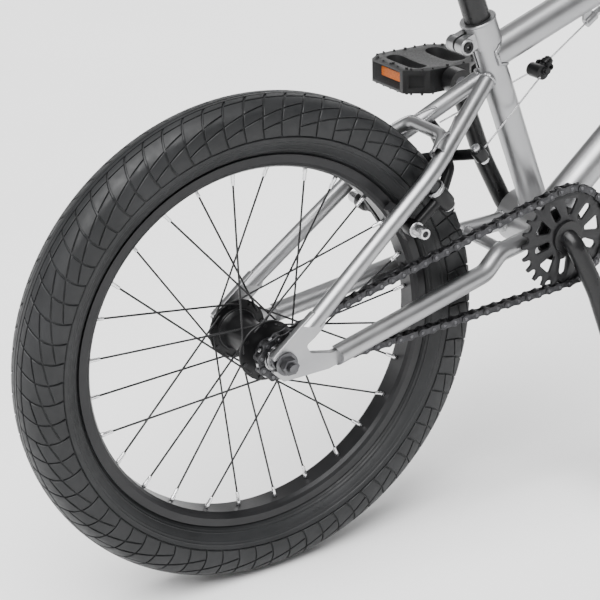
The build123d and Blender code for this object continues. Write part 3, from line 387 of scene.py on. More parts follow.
NODE_MATERIALS = {
    SILVER: ["head_tube", "top_tube", "down_tube", "seat_tube", "bottom_bracket_shell", "seatstays",
             "chainstays", "dropouts", "stay_bridges", "cable_stop"],
    PAINT: ["fork", "handlebar", "crank", "seat_post", "headset_cap", "lever_clamp", "left_brake_arm",
            "right_brake_arm", "cable_hanger", "bottom_bracket_cups", "brake_lever"],
    ALLOY: ["stem", "stem_faceplate", "front_rim", "rear_rim", "sprocket", "brake_posts"],
    GLOSS: ["front_hub", "rear_hub"],
    STEEL: ["headset_bearings", "crank_bearings", "driver_cog", "straddle_wire", "inner_cable"],
    DARK: ["rear_axle", "front_axle", "rear_axle_nuts", "front_axle_nuts", "clamp_bolt", "stem_bolts",
           "pedal_axles"],
    SPOKE: ["front_spokes", "rear_spokes"],
    NIPPLE: ["front_nipples", "rear_nipples"],
    CHAIN: ["chain"],
    TYRE: ["front_tyre", "rear_tyre"],
    RUBBER: ["left_grip", "right_grip", "left_brake_pad", "right_brake_pad"],
    PLASTIC: ["left_pedal", "right_pedal", "seat_shell", "brake_housing"],
    AMBER: ["left_pedal_reflectors", "right_pedal_reflectors"],
    CLOTH: ["seat_cover"],
}
for material, nodes in NODE_MATERIALS.items():
    for node in nodes:
        for material_slot in frame["nodes"][node].material_slots:
            material_slot.material = material


# ---------------------------------------------------------------- tyres
RIB_EDGE = 4.2        # tread lines, as distances round the section from the crown
STRIP_EDGE = 11.5
SHOULDER = 53.6
GROOVE_DEPTH = 1.5
WALL_FOOT = -1.9       # how deep a block's walls run below the tread
EDGE_DROP = 0.45       # how far its top edges are rounded, down and in
EDGE_ROUND = 0.55
PITCH = 360 / TREAD_PITCHES
FIRST_GROOVE = 3.92
ARROW_LINE = 66.0
ARROW_ANGLE = -76

CROWN = arc((TYRE_RADIUS, 0), (236.0, 13.8), (229.0, 25.0), 60)
HAUNCH = arc((229.0, 25.0), (219.0, 28.2), (208.0, TYRE_HALF_WIDTH), 50)
SIDEWALL = arc((208.0, TYRE_HALF_WIDTH), (193.5, 22.4), (184.8, 12.4), 60)
SECTION = np.vstack((CROWN, HAUNCH[1:], SIDEWALL[1:]))
SECTION_LENGTH = np.concatenate(([0], np.cumsum(np.hypot(*np.diff(SECTION, axis=0).T))))
SECTION_STEP = np.gradient(SECTION, axis=0)
SECTION_NORMAL = unit(np.column_stack((SECTION_STEP[:, 1], -SECTION_STEP[:, 0])))


def tyre_section(along, height):
    """Radius and y on the tyre's right half, height millimetres above its surface."""
    return [np.interp(along, SECTION_LENGTH, SECTION[:, axis])
            + height * np.interp(along, SECTION_LENGTH, SECTION_NORMAL[:, axis]) for axis in (0, 1)]


def on_tyre(along, angle, height, centre, side):
    """A point on the tyre: distance round the section from the crown, angle, and height above the surface."""
    radius, y = tyre_section(along, height)
    return around_y(radius, side * y, angle, centre)


def groove_lead(along):
    """How far a cross groove leads its widest point, in degrees."""
    inner = -4.8 * (np.clip(41 - along, 0, 41) / 41) ** 1.8
    outer = -0.5 * (np.clip(along - 41, 0, 20) / 13) ** 2
    return inner + outer


def tread_block(shape, first, low, high, gaps, centre, side, offset):
    """One block between cross grooves; low and high are its (inner, outer) edges at each groove."""
    groove, slit = gaps
    width = PITCH * math.pi / 180 * TYRE_RADIUS
    edge = groove / width
    round_over = EDGE_ROUND / width
    s = np.array([edge - 0.01, edge, edge + round_over, 0.35,
                  0.65, 1 - edge - round_over, 1 - edge, 1.01 - edge])
    mean = (high[1] + low[1] - high[0] - low[0]) / 2
    slit_edge, slit_round, slit_foot = slit / mean, EDGE_ROUND / mean, 0.04 / mean
    inner = np.linspace(slit_edge + slit_round, 1 - slit_edge - slit_round, 5)
    t = np.concatenate((
        [slit_edge - slit_foot, slit_edge], inner, [1 - slit_edge, 1 - slit_edge + slit_foot]))
    s_height, t_height = ([WALL_FOOT, -EDGE_DROP, *[0] * flat, -EDGE_DROP, WALL_FOOT] for flat in (4, 5))
    S, T = np.meshgrid(s, t, indexing="ij")
    start = low[0] + (high[0] - low[0]) * S
    end = low[1] + (high[1] - low[1]) * S
    along = start + (end - start) * T
    height = np.minimum.outer(np.array(s_height), np.array(t_height))
    angle = FIRST_GROOVE + offset + PITCH * (first + S) + groove_lead(along)
    shape.grid(on_tyre(along, angle, height, centre, side), flip=side > 0)


def tread(shape, centre):
    for side in (-1, 1):
        offset = 0 if side < 0 else PITCH / 2
        for first in range(TREAD_PITCHES):
            middle = ((26.8, 32.7), (38.6, 44.5)) if first % 2 == 0 else ((20.9, 26.8), (32.7, 38.6))
            lines = ((STRIP_EDGE, STRIP_EDGE), *middle, (SHOULDER, SHOULDER))
            for inner, outer in zip(lines, lines[1:]):
                low, high = (inner[0], outer[0]), (inner[1], outer[1])
                tread_block(shape, first, low, high, (0.85, 0.6), centre, side, offset)
            strip = (RIB_EDGE, STRIP_EDGE)
            tread_block(shape, first, strip, strip, (1.0, 0.5), centre, side, offset)


def tyre_body(shape, centre):
    """The casing: a shell turned about the axle, with the centre rib and the fine rings of the sidewall."""
    along = np.concatenate((
        [0, 0.5, 0.9, 1.3], np.linspace(1.8, RIB_EDGE - 0.5, 4), [RIB_EDGE - 0.1, RIB_EDGE + 0.1],
        np.linspace(6, SHOULDER - 1, 26), [SHOULDER, SHOULDER + 1.0, SHOULDER + 1.5],
        np.linspace(SHOULDER + 2.5, SECTION_LENGTH[-1] - 0.2, 36)))
    height = np.zeros(len(along))
    height[(along > RIB_EDGE) & (along < SHOULDER + 0.9)] = -GROOVE_DEPTH
    height[along < 0.6] = -0.8
    for ring, rise in ((58.5, 0.45), (61.5, 0.3), (70.5, 0.45), (73.5, 0.3)):
        height += rise * np.exp(-((along - ring) / 0.45) ** 2)
    height[-1] = 0
    outer = np.column_stack(tyre_section(along, height))
    bead = [(184.0, 12.3), (179.6, 12.3), (179.3, 9.2), (187.0, 9.4)]
    inside = np.vstack((
        arc((196.0, 19.8), (208, 25.2), (217.5, 25.0), 8), arc((225.0, 21.6), (231.3, 12.2), (233.0, 0), 9)))
    half = np.vstack((outer, bead, inside))
    loop = np.vstack((half, (half * (1, -1))[-2:0:-1]))
    angles = np.linspace(0, 360, 288, endpoint=False)
    rings = [around_y(loop[:, 0], loop[:, 1], angle, centre) for angle in angles]
    shape.grid(np.array(rings), close_u=True, close_v=True)


def arrow(shape, centre, side, angle):
    """A plain rotation arrow moulded on the sidewall."""
    for step in range(3):
        lead = angle - side * 1.6 * step
        for bend in (-1, 1):
            rows = []
            for reach in (0, 4.6):
                shift = side * 0.28 * reach
                rows.append([on_tyre(ARROW_LINE + bend * reach, lead - shift + width, lift, centre, side)
                             for width, lift in ((-0.28, -0.3), (-0.24, 0.5), (0.24, 0.5), (0.28, -0.3))])
            shape.grid(np.array(rows), flip=(side * bend) > 0)


def tyre(name, body, centre):
    shape = Shape()
    tyre_body(shape, centre)
    tread(shape, centre)
    for side in (-1, 1):
        arrow(shape, centre, side, ARROW_ANGLE)
    replaced = (name.replace("treaded", "tyre"),)
    shape.build(name, TYRE, body, replaces=replaced, slot="tyre_rubber", smooth_angle=38)


# ---------------------------------------------------------------- spokes and valves
def wheel_spokes(side, body, centre, right, left, hole_radius):
    """Bent-headed spokes with shouldered nipples, three-cross."""
    spokes, nipples = Shape(), Shape()
    for index in range(SPOKES):
        on_left = index % 2 == 0
        leading = (index // 2) % 2 == 0
        at_rim = NIPPLE_PHASE + index * 360 / SPOKES
        at_hub = at_rim + SPOKE_CROSSINGS * 720 / SPOKES * (1 if leading else -1)
        flange = left if on_left else right
        out = 1 if leading == on_left else -1
        hole = around_y(hole_radius, flange, at_hub, centre)
        elbow = hole + SIDE * out * 1.9 * MM
        seat = around_y(RIM_INNER_RADIUS, 1.5 if on_left else -1.5, at_rim, centre)
        along = unit(seat - elbow)
        foot = seat - along * 13 * MM
        bend = [hole - SIDE * out * (3.0 - step * 0.9) * MM for step in range(4)]
        bend += [hole + SIDE * out * 1.3 * MM + along * 0.25 * MM]
        bend += [elbow + along * distance * MM for distance in (1.1, 2.6, 12)]
        spokes.sweep(bend + [foot + along * 2 * MM], np.array([1.9, 1.7] + [1.0] * 7) * MM, 8)
        profile = [(1.3, 0), (1.75, 0.6), (1.85, 1.2), (1.85, 7.5), (2.25, 8.3), (2.25, 12.2), (2.0, 12.6)]
        nipples.lathe(profile, foot, along, sides=8)
    for shape, part, material, slot in (
            (spokes, "spoke", SPOKE, "dark_steel"), (nipples, "nipple", NIPPLE, "nipple_silver")):
        shape.build(f"{side}_{part}_set", material, body, (f"{side}_{part}s",), slot, smooth_angle=50)


def hub(side, body, centre, right, left, flange, shell, right_end, left_end):
    """A waisted hub shell: eased flanges, a step inside each, and bearing covers with dark rings."""
    neck = shell * NECK_TO_SHELL

    def half(plane, end, inward):
        """From the bore at one end to the waist; distances run inwards from the flange's plane."""
        from_flange = [
            (neck, -1.5), (flange - 0.6, -1.5), (flange, -0.9), (flange, 0.9), (flange - 0.6, 1.5),
            (flange - 8.0, 1.6), (flange - 8.6, 2.4), (shell + 3, 2.6), (shell + 0.8, 5), (shell, 8.5)]
        cover = [(HUB_BORE, end), (neck - 0.8, end), (neck, end + inward * 0.8)]
        return cover + [(radius, plane + inward * depth) for radius, depth in from_flange]

    profile = half(right, right_end, 1) + [(shell - 0.4, (right + left) / 2)] + half(left, left_end, -1)[::-1]
    shape, rings = Shape(), Shape()
    shape.lathe(profile, centre, SIDE, 72, close=True)
    shape.build(f"{side}_hub_turned", GLOSS, body, (f"{side}_hub",), "black_alloy", smooth_angle=30)
    for radius, y in ((neck + 1.4, right - 2.0), (flange - 9.4, right + 2.2), (flange - 9.4, left - 2.2)):
        section = [(radius - 1.2, y - 0.5), (radius, y - 0.5), (radius, y + 0.5), (radius - 1.2, y + 0.5)]
        rings.lathe(section, centre, SIDE, 64, close=True)
    rings.build(f"{side}_hub_rings", DARK, body, slot="dark_steel")


def valve(name, body, centre):
    """A threaded valve stem through the rim, with its nut and dust cap."""
    turn = math.radians(NIPPLE_PHASE - VALVE_SPACES * 360 / SPOKES)
    inward = np.array((-math.cos(turn), 0, -math.sin(turn)))
    foot = centre - inward * (RIM_INNER_RADIUS + 3) * MM
    stem = Shape()
    threads = [(3.95 + 0.25 * (step % 2), 5 + step * 0.6) for step in range(32)]
    stem.lathe([(3.0, 0), (6.2, 2.6), (6.2, 4.6), (4.0, 5)] + threads, foot, inward, 24)
    cap = [(4.0, 24), (5.0, 24.4), (5.0, 34), (4.4, 36.4), (2.6, 37.4)]
    stem.lathe(cap, foot, inward, 18)
    stem.build(name, RUBBER, body, smooth_angle=40)


# ---------------------------------------------------------------- chain
PITCH_MM = 12.7
TEETH, DRIVER_TEETH = 25, 9
RUN_LINKS = 26          # in the top run, and in the lower run
DRIVER_PINS = 6
FIRST_TOOTH = math.radians(7.2)
CENTRES = float(np.linalg.norm((CRANK_AXLE - REAR_AXLE)[[0, 2]])) * 1000
CENTRES_TILT = math.atan2(CRANK_AXLE[2] - REAR_AXLE[2], CRANK_AXLE[0] - REAR_AXLE[0])
CHAIN_Y = -44.0
PLATE_END = 4.15


def between(low, high, rises):
    """Where a rising function crosses zero."""
    for _ in range(60):
        middle = (low + high) / 2
        low, high = (low, middle) if rises(middle) > 0 else (middle, high)
    return (low + high) / 2


def chain_pins():
    """The pins in millimetres about the rear axle: sprocket, top run, driver, then the sagging lower run."""
    big, small = (PITCH_MM / 2 / math.sin(math.pi / count) for count in (TEETH, DRIVER_TEETH))
    run = RUN_LINKS
    tangent = math.pi / 2 + math.asin((big - small) / CENTRES)
    seated = [FIRST_TOOTH + index * 2 * math.pi / TEETH for index in range(-TEETH, TEETH)]
    pins = [np.array((CENTRES + big * math.cos(turn), big * math.sin(turn)))
            for turn in seated if abs(turn) <= tangent]
    top, bottom = pins[-1], pins[0]

    def on_driver(turn):
        return np.array((small * math.cos(turn), small * math.sin(turn)))

    entry = between(tangent - 0.6, tangent + 0.2,
                    lambda turn: np.linalg.norm(top - on_driver(turn)) - run * PITCH_MM)
    landing = on_driver(entry)
    pins += [top + (landing - top) * index / run for index in range(1, run)]
    pins += [on_driver(entry + index * 2 * math.pi / DRIVER_TEETH) for index in range(DRIVER_PINS)]
    start = pins[-1]
    span = np.linalg.norm(bottom - start)
    turn = between(1e-6, 0.02, lambda value: span - PITCH_MM * math.sin(run * value / 2) / math.sin(value / 2))
    heading = math.atan2(*(bottom - start)[::-1]) - turn * (run - 1) / 2
    for index in range(run - 1):
        step = heading + index * turn
        pins.append(pins[-1] + PITCH_MM * np.array((math.cos(step), math.sin(step))))
    cos, sin = math.cos(CENTRES_TILT), math.sin(CENTRES_TILT)
    return [np.array((x * cos - z * sin, x * sin + z * cos)) for x, z in pins]


def link_plate(shape, first, second, near, far):
    """A waisted side plate between two pins, from y = near to y = far, with eased edges."""
    round_end = np.radians(np.linspace(62, 298, 11))
    left = np.column_stack((PLATE_END * np.cos(round_end) - PITCH_MM / 2, PLATE_END * np.sin(round_end)))
    waist, shoulder = 3.05, 1.6
    outline = np.vstack(([(-shoulder, waist)], left, [(-shoulder, -waist), (shoulder, -waist)], -left,
                         [(shoulder, waist)]))
    along = unit(second - first)
    across = np.array((-along[1], along[0]))
    middle = (first + second) / 2
    rows = []
    step = 0.25 * np.sign(far - near)
    for shrink, y in ((0.92, near), (1, near + step), (1, far - step), (0.92, far)):
        flat = middle + np.outer(outline[:, 0] * (1 - (1 - shrink) / 2.2), along)
        flat = flat + np.outer(outline[:, 1] * shrink, across)
        rows.append(np.column_stack((flat[:, 0], np.full(len(flat), CHAIN_Y + y), flat[:, 1])))
    rows = REAR_AXLE + np.array(rows) * MM
    start = shape.count
    count = len(outline)
    shape.grid(rows, close_v=True, flip=far < near)
    low = tuple(range(start, start + count))
    high = tuple(range(start + 3 * count, start + 4 * count))
    shape.faces.append(low if far < near else low[::-1])
    shape.faces.append(high[::-1] if far < near else high)


def chain():
    """Seventy links: waisted plates, rollers, and riveted pin ends."""
    plates, pins = Shape(), Shape()
    places = chain_pins()
    for index, (first, second) in enumerate(zip(places, places[1:] + places[:1])):
        near, far = (3.45, 4.55) if index % 2 == 0 else (2.05, 3.3)
        for sign in (-1, 1):
            link_plate(plates, first, second, sign * near, sign * far)
        centre = REAR_AXLE + np.array((first[0], CHAIN_Y, first[1])) * MM
        plates.lathe([(3.5, -2.0), (3.85, -1.8), (3.85, 1.8), (3.5, 2.0)], centre, SIDE, 14)
        rivet = [(0.8, -4.85), (1.5, -5.0), (1.75, -4.7), (1.75, 4.7), (1.5, 5.0), (0.8, 4.85)]
        pins.lathe(rivet, centre, SIDE, 12)
    plates.build("chain_links", CHAIN, "frame", replaces=("chain",), slot="chain_steel", smooth_angle=40)
    pins.build("chain_pins", DARK, "frame", slot="dark_steel", smooth_angle=40)


# ---------------------------------------------------------------- weld beads
BEAD_SIDES = 8
RIPPLE_PITCH = 2.6


def crossing(start, direction, radius, axis_point, axis, other_radius, reach, sides=72):
    """Where a round tube meets a bigger cylinder, walking from start along direction, in millimetres."""
    direction, axis = unit(direction), unit(axis)
    across = square_to(direction, (0, 1, 0), (0, 0, 1), 0.3)
    loop = []
    for way in circle(full_turn(sides), across, np.cross(direction, across)):
        side = np.asarray(start, float) + radius * way
        offset = side - np.asarray(axis_point, float)
        a = 1 - direction.dot(axis) ** 2
        b = offset.dot(direction) - offset.dot(axis) * direction.dot(axis)
        c = offset.dot(offset) - offset.dot(axis) ** 2 - other_radius ** 2
        root = b * b - a * c
        walk = (-b - math.sqrt(root)) / a if root > 0 else -b / a
        loop.append(side + direction * min(walk, reach))
    return np.array(loop)


def bead(shape, loop, size):
    """A rippled weld bead round a closed loop of points in millimetres about the rear axle."""
    path = np.vstack((loop, loop[:1]))
    length = np.concatenate(([0], np.cumsum(np.linalg.norm(np.diff(path, axis=0), axis=1))))
    count = max(24, int(length[-1] / 0.65))
    places = np.linspace(0, length[-1], count, endpoint=False)
    centre = np.column_stack([np.interp(places, length, path[:, axis]) for axis in range(3)])
    ripples = max(1, round(length[-1] / RIPPLE_PITCH))
    swell = np.abs(np.sin(places / length[-1] * math.pi * ripples)) ** 0.8
    radii = size * (0.8 + 0.22 * swell)
    steps = unit(np.roll(centre, -1, axis=0) - np.roll(centre, 1, axis=0))
    across = np.cross(steps[0], (0.31, 0.22, 0.93))
    rings = REAR_AXLE + tube_rings(centre, steps, radii, across, BEAD_SIDES) * MM
    # join the last ring to the first by the points that lie nearest each other
    ends = [ring - ring.mean(axis=0) for ring in (rings[0], rings[-1])]
    best = max(range(BEAD_SIDES), key=lambda shift: (np.roll(ends[1], shift, axis=0) * ends[0]).sum())
    start = shape.count
    shape.grid(rings, close_v=True, flip=True)
    end = start + (len(rings) - 1) * BEAD_SIDES
    for column in range(BEAD_SIDES):
        here, there = (column - best) % BEAD_SIDES, (column + 1 - best) % BEAD_SIDES
        shape.faces.append((start + column, end + here, end + there, start + (column + 1) % BEAD_SIDES))


SEAT_FOOT = np.array((334.4, 0, CENTRES * math.sin(CENTRES_TILT)))
CRANK_SPOT = np.array((CENTRES * math.cos(CENTRES_TILT), 0, CENTRES * math.sin(CENTRES_TILT)))
SEAT_BACK = np.array((-SEAT_UP[2], 0, SEAT_UP[0]))
HEAD_SPOT = np.array((670.8, 0, 404.0))
TOP_REAR, TOP_FRONT = np.array((268.7, 0, 230.9)), np.array((678.0, 0, 378.0))
DOWN_REAR, DOWN_FRONT = np.array((334.0, 0, 44.5)), np.array((687.9, 0, 342.3))
STAY_BEND, STAY_TOP = np.array((172, -45.0, 142.5)), np.array((266, -3.6, 211.5))
SHELL_RADIUS, HEAD_RADIUS, SEAT_TUBE_RADIUS = 28.6, 22.0, 14.3
TOP_RADIUS, DOWN_RADIUS, STAY_RADIUS, CHAINSTAY_RADIUS = 15.9, 17.45, 7.95, 9.5


def seat_axis(along, back=0.0, side=0.0):
    return SEAT_FOOT + SEAT_UP * along + SEAT_BACK * back + SIDE * side


def brake(along, side, out):
    """A point in the brake's frame: up the stays, across, and out towards the seat tube."""
    slope = math.radians(37.4)
    up, away = np.array((math.cos(slope), 0, math.sin(slope))), np.array((math.sin(slope), 0, -math.cos(slope)))
    return np.array((152.0, 0, 128.1)) + up * along + away * out + SIDE * side


def placed(point):
    """From millimetres about the rear axle to the shared frame."""
    return REAR_AXLE + np.asarray(point, float) * MM


def welds():
    shape = Shape()
    top_way = TOP_FRONT - TOP_REAR
    down_way = DOWN_FRONT - DOWN_REAR
    shell, head = (CRANK_SPOT, SIDE, SHELL_RADIUS), (HEAD_SPOT, HEAD_UP, HEAD_RADIUS)
    seat_tube = (SEAT_FOOT, SEAT_UP, SEAT_TUBE_RADIUS)
    for start, way, radius, other, size in (
            (TOP_REAR + top_way * 0.3, -top_way, TOP_RADIUS, seat_tube, 2.1),
            (TOP_REAR + top_way * 0.7, top_way, TOP_RADIUS, head, 2.1),
            (DOWN_REAR + down_way * 0.7, down_way, DOWN_RADIUS, head, 2.2),
            (DOWN_REAR + down_way * 0.5, -down_way, DOWN_RADIUS, shell, 2.2),
            (seat_axis(100), -SEAT_UP, SEAT_TUBE_RADIUS, shell, 2.1)):
        bead(shape, crossing(start, way, radius, *other, reach=400), size)
    stay_way = STAY_TOP - STAY_BEND
    upper = crossing(STAY_BEND, stay_way, STAY_RADIUS, *seat_tube, reach=118)
    upper = upper[upper[:, 1] < -2.5]
    spread = upper - upper.mean(axis=0)
    upper = upper[np.argsort(np.arctan2(spread @ SIDE, spread @ SEAT_UP))]
    chain_way = np.array((312, -25.5, 45.6)) - np.array((257, -34.0, 40.5))
    chainstay = crossing((270, -32.0, 41.7), chain_way, CHAINSTAY_RADIUS, *shell, reach=120)
    bridge_end = brake(61, -27, -7)
    bridge_way = brake(44, -38, -7) - bridge_end
    bridge = crossing(bridge_end, bridge_way, 6.2, STAY_BEND, stay_way, STAY_RADIUS, reach=24)
    lower = crossing((262, 0, 42.3), (0, -1, 0), 6.0, (262, -33.2, 41.2), chain_way, 9.4, reach=60)
    for side in (1, -1):
        for loop, size in ((upper, 1.8), (chainstay, 2.0), (bridge, 1.4), (lower, 1.4)):
            bead(shape, loop * (1, side, 1), size)
    shape.build("weld_beads", SILVER, "frame", smooth_angle=70)


# ---------------------------------------------------------------- pedals
PEDAL_Y = 126.5
PEDAL_HALF_WIDTH = 42.5
POCKET_Y = 4
DISH_RADIUS = 37
STUD_PLACES = ((44, 26), (44, 13), (44, 0), (44, -13), (39, -30), (31, -38), (19, -40),
               (36, 37), (26, 40), (13, 40))


def carved(base, cuts):
    """A mesh with other shapes cut out of it, one exact boolean each."""
    body = add_object("carving", base)
    knives = []
    for cut in cuts:
        mesh = cut.mesh("knife")
        with editing(mesh) as edit:
            bmesh.ops.recalc_face_normals(edit, faces=edit.faces)
        knife = add_object("knife", mesh)
        knives.append(knife)
        modifier = body.modifiers.new("cut", "BOOLEAN")
        modifier.operation = "DIFFERENCE"
        modifier.solver = "EXACT"
        modifier.object = knife
    mesh = evaluated_mesh(body)
    for item in [body, *knives]:
        bpy.data.objects.remove(item)
    return mesh


def rectangle(x, y_half, z_half):
    """A pocket's outline at one distance along the pedal."""
    low, high = POCKET_Y - y_half, POCKET_Y + y_half
    return [(x, low, -z_half), (x, high, -z_half), (x, high, z_half), (x, low, z_half)]


def pedal(name, side, body):
    """A moulded cage: dished decks, deep reflector pockets, side windows and rows of studs."""
    middle = PIVOT[f"{name}_pedal_spin"] * (1, 0, 1) + SIDE * (side * PEDAL_Y * MM)

    def place(points):
        return middle + np.asarray(points) * (1, side, 1) * MM

    cuts = []
    for end in (-1, 1):
        pocket, dish = Shape(), Shape()
        inner, outer = rectangle(end * 38.2, 20.2, 5.6), rectangle(end * 46.6, 25.5, 9.6)
        pocket.prism(place(inner), place(outer), end * side < 0)
        bowl = [(radius, 9.6 + radius * radius / 520) for radius in (0.5, 8, 16, 24, 32, DISH_RADIUS)]
        dish.lathe(bowl + [(DISH_RADIUS, 20), (0.5, 20)], middle, (0, 0, end), 40)
        cuts += [pocket, dish]
    for corner in (-1, 1):
        window = Shape()
        way = unit((corner * 16.0, -22.0))
        across = np.array((-way[1], way[0]))
        spot = np.array((corner * 35.0, 8.0 - PEDAL_HALF_WIDTH))
        corners = ((-7.5, -6.5), (7.5, -6.5), (7.5, 6.5), (-7.5, 6.5))
        near, far = ([(*(spot + across * u + way * depth), z) for u, z in corners] for depth in (-4.0, 9.0))
        window.prism(place(near), place(far), side < 0)
        cuts.append(window)
    cage = frame["nodes"][f"{name}_pedal"].data.copy()
    with editing(cage) as edit:
        weld_points(edit)
    mesh = carved(cage, cuts)
    ease_edges(mesh, 0.5, 2, 32, flat_angle=1)
    settle(mesh, f"{name}_pedal_cage", PLASTIC, body, (f"{name}_pedal",))

    studs = Shape()
    stud = [(1.9, -0.4), (1.7, 0.5), (1.25, 0.9), (1.1, 2.0), (0.5, 2.3)]
    for end in (-1, 1):
        for x, y in STUD_PLACES:
            for turn in (-1, 1):
                foot = place((turn * x * 0.985, y, end * 11.7))
                studs.lathe(stud, foot, (0, 0, end), 8)
    studs.build(f"{name}_pedal_studs", PLASTIC, body, slot="pedal_plastic")

    glass = Shape()
    rows, columns = 9, 31
    half_long, half_high = 19, 4.8
    row, column = np.meshgrid(np.arange(rows), np.arange(columns), indexing="ij")
    facets = 38.9 + 0.55 * ((row + column) % 2)
    across = POCKET_Y + half_long * (2 * column / (columns - 1) - 1)
    up = half_high * (2 * row / (rows - 1) - 1)
    for end in (-1, 1):
        glass.grid(place(np.stack((end * facets, across, up), axis=-1)), flip=end * side < 0)
        back, front = (rectangle(end * x, half_long, half_high) for x in (37.8, 38.95))
        glass.prism(place(back), place(front), end * side < 0)
    replaced = (f"{name}_pedal_reflectors",)
    glass.build(f"{name}_pedal_lenses", AMBER, body, replaced, "amber", smooth_angle=10)


# ---------------------------------------------------------------- brake, collar and other fittings
COIL_POINTS, COIL_TURNS, COIL_RADIUS = 70, 2.5, 8.7


def washer(shape, centre, axis, radius, sides):
    profile = [(radius - 0.4, 0), (radius, 0.4), (radius, 1.2), (radius - 0.4, 1.6)]
    shape.lathe(profile, centre, axis, sides)


def socket_bolt(shape, centre, axis, radius, height, socket=0.5):
    """A round bolt head with a hollow six-sided socket; centre is under the head."""
    rim = [(radius * 0.98, 0), (radius, height * 0.15), (radius, height * 0.8), (radius * 0.86, height)]
    inner = radius * socket
    well = [(inner * 1.12, height), (inner, height * 0.9), (inner, height * 0.35), (0.2, height * 0.3)]
    shape.lathe(rim + well, centre, axis, 24)


def brake_fittings():
    """The same fittings sorted onto the bodies that carry them."""
    slope_away = brake(0, 0, 1) - brake(0, 0, 0)
    direction = unit((63.0, 0, 41.6))
    hanger = np.array((326.0, 0, 204.9))
    for name, side, level in (("right", -1, 21.0), ("left", 1, 33.2)):
        across = SIDE * side
        body = f"{name}_brake_arm"
        bright, black = Shape(), Shape()
        bolt, outside, inside = (placed(brake(-22.0, side * reach, 27.0)) for reach in (49.7, 48.6, 38.4))
        socket_bolt(bright, bolt, across, 5.9, 14.6)
        washer(bright, outside, across, 7.6, 28)
        black.lathe([(5.0, 0), (7.6, 0.6), (7.6, 2.2), (6.4, 4.2), (4.0, 4.4)], inside, -across, 28)
        anchor = placed(brake(76.0, -side * 35.0, level))
        socket_bolt(bright, anchor - slope_away * 6.0 * MM, -slope_away, 4.6, 4.2)
        washer(bright, anchor + slope_away * 6.0 * MM, slope_away, 5.8, 24)
        nut = anchor + slope_away * 7.4 * MM
        bright.lathe([(4.3, 0), (4.6, 0.3), (4.6, 3.4), (4.0, 3.8)], nut, slope_away, 6)
        bright.build(f"{name}_brake_bolts", STEEL, body, slot="steel")
        black.build(f"{name}_pad_washer", GLOSS, body, slot="black_alloy")
        softened(f"{name}_brake_arm", f"{name}_brake_arm_cast", GLOSS, body, 0.7, 3, 25)
    caps, springs = Shape(), Shape()
    for side in (-1, 1):
        socket_bolt(caps, placed(brake(18.0, side * 43.5, 40.4)), slope_away, 6.6, 1.6, 0.45)
        coil = []
        for part in np.arange(COIL_POINTS) / COIL_POINTS:
            turn = part * 2 * math.pi * COIL_TURNS
            wire = brake(18.0 + COIL_RADIUS * math.cos(turn), side * (43.5 + COIL_RADIUS * math.sin(turn)),
                         13.2 + 4.2 * part)
            coil.append(placed(wire))
        springs.sweep(coil, 0.8 * MM, 8)
    caps.build("brake_pivot_caps", STEEL, "frame", slot="steel")
    springs.build("brake_springs", STEEL, "frame", slot="steel")
    ears, sockets = Shape(), Shape()
    for side in (-1, 1):
        across = SIDE * side
        ring = [(5.3, 0), (7.9, 0.0), (7.9, 2.2), (7.2, 3.1), (6.0, 3.3), (5.5, 2.6)]
        ears.lathe(ring, placed(seat_axis(223.5, 26.0, side * 10.4)), across, 40)
        socket_bolt(sockets, placed(seat_axis(223.5, 26.0, side * 12.2)), across, 5.2, 2.6)
    lip = [(14.4, 235.0), (17.3, 235.0), (17.9, 235.8), (17.9, 237.0), (17.3, 237.8), (13.0, 237.8),
           (13.0, 235.2)]
    ears.lathe(lip, placed(SEAT_FOOT), SEAT_UP, 60, close=True)
    ears.build("seat_collar_rings", SILVER, "frame")
    sockets.build("seat_collar_sockets", GLOSS, "frame", slot="black_alloy")
    block = Shape()
    for along in (2.0, 9.0):
        socket_bolt(block, placed(hanger + direction * along + SIDE * -6.6), -SIDE, 3.8, 4.6)
        nut = placed(hanger + direction * along + SIDE * 6.4)
        block.lathe([(3.6, 0), (4.0, 0.4), (4.0, 2.6), (3.4, 3.1)], nut, SIDE, 6)
    collar = [(4.3, 9.0), (5.7, 9.8), (5.7, 13.4), (4.9, 14.2), (4.9, 16.6), (3.2, 17.6)]
    block.lathe(collar, placed(hanger), direction, 20)
    block.build("hanger_clamps", GLOSS, "cable_hanger", slot="black_alloy")
    softened("cable_hanger", "cable_hanger_cast", GLOSS, "cable_hanger", 0.6, 3, 25)


def grips():
    """Ribbed rubber sleeves with a flange."""
    points = [np.array(point, float) for point in ((0, 152, 196), (-34, 330, 206))]
    forward = np.array((HEAD_UP[2], 0, -HEAD_UP[0]))
    for name, side in (("left", 1), ("right", -1)):
        def bar_point(point):
            local = forward * (48.0 + point[0]) + SIDE * side * point[1] + HEAD_UP * (33.0 + point[2])
            return HEAD_TOP + local * MM

        along = unit(points[1] - points[0])
        start, end = bar_point(points[1] - along * 128), bar_point(points[1] + along * 4)
        profile = [(11.3, 0), (20.5, 0), (21.9, 0.8), (21.9, 2.7), (20.5, 3.5), (15.6, 3.8), (14.4, 5)]
        for ring in range(24):
            base = 6.0 + ring * 4.8
            rib = ((14.1, 0), (15.1, 0.5), (15.3, 1.5), (15.1, 2.9), (14.1, 3.4))
            profile += [(radius, base + along) for radius, along in rib]
        profile += [(14.2, 121), (15.2, 122), (15.2, 130), (14.0, 132), (3.0, 132)]
        sleeve = Shape()
        sleeve.lathe(profile + [(3.0, 129.5), (11.3, 129.5)], start, end - start, 40, close=True)
        replaced = (f"{name}_grip",)
        sleeve.build(f"{name}_ribbed_grip", RUBBER, "steering", replaced, "grip_rubber", smooth_angle=50)


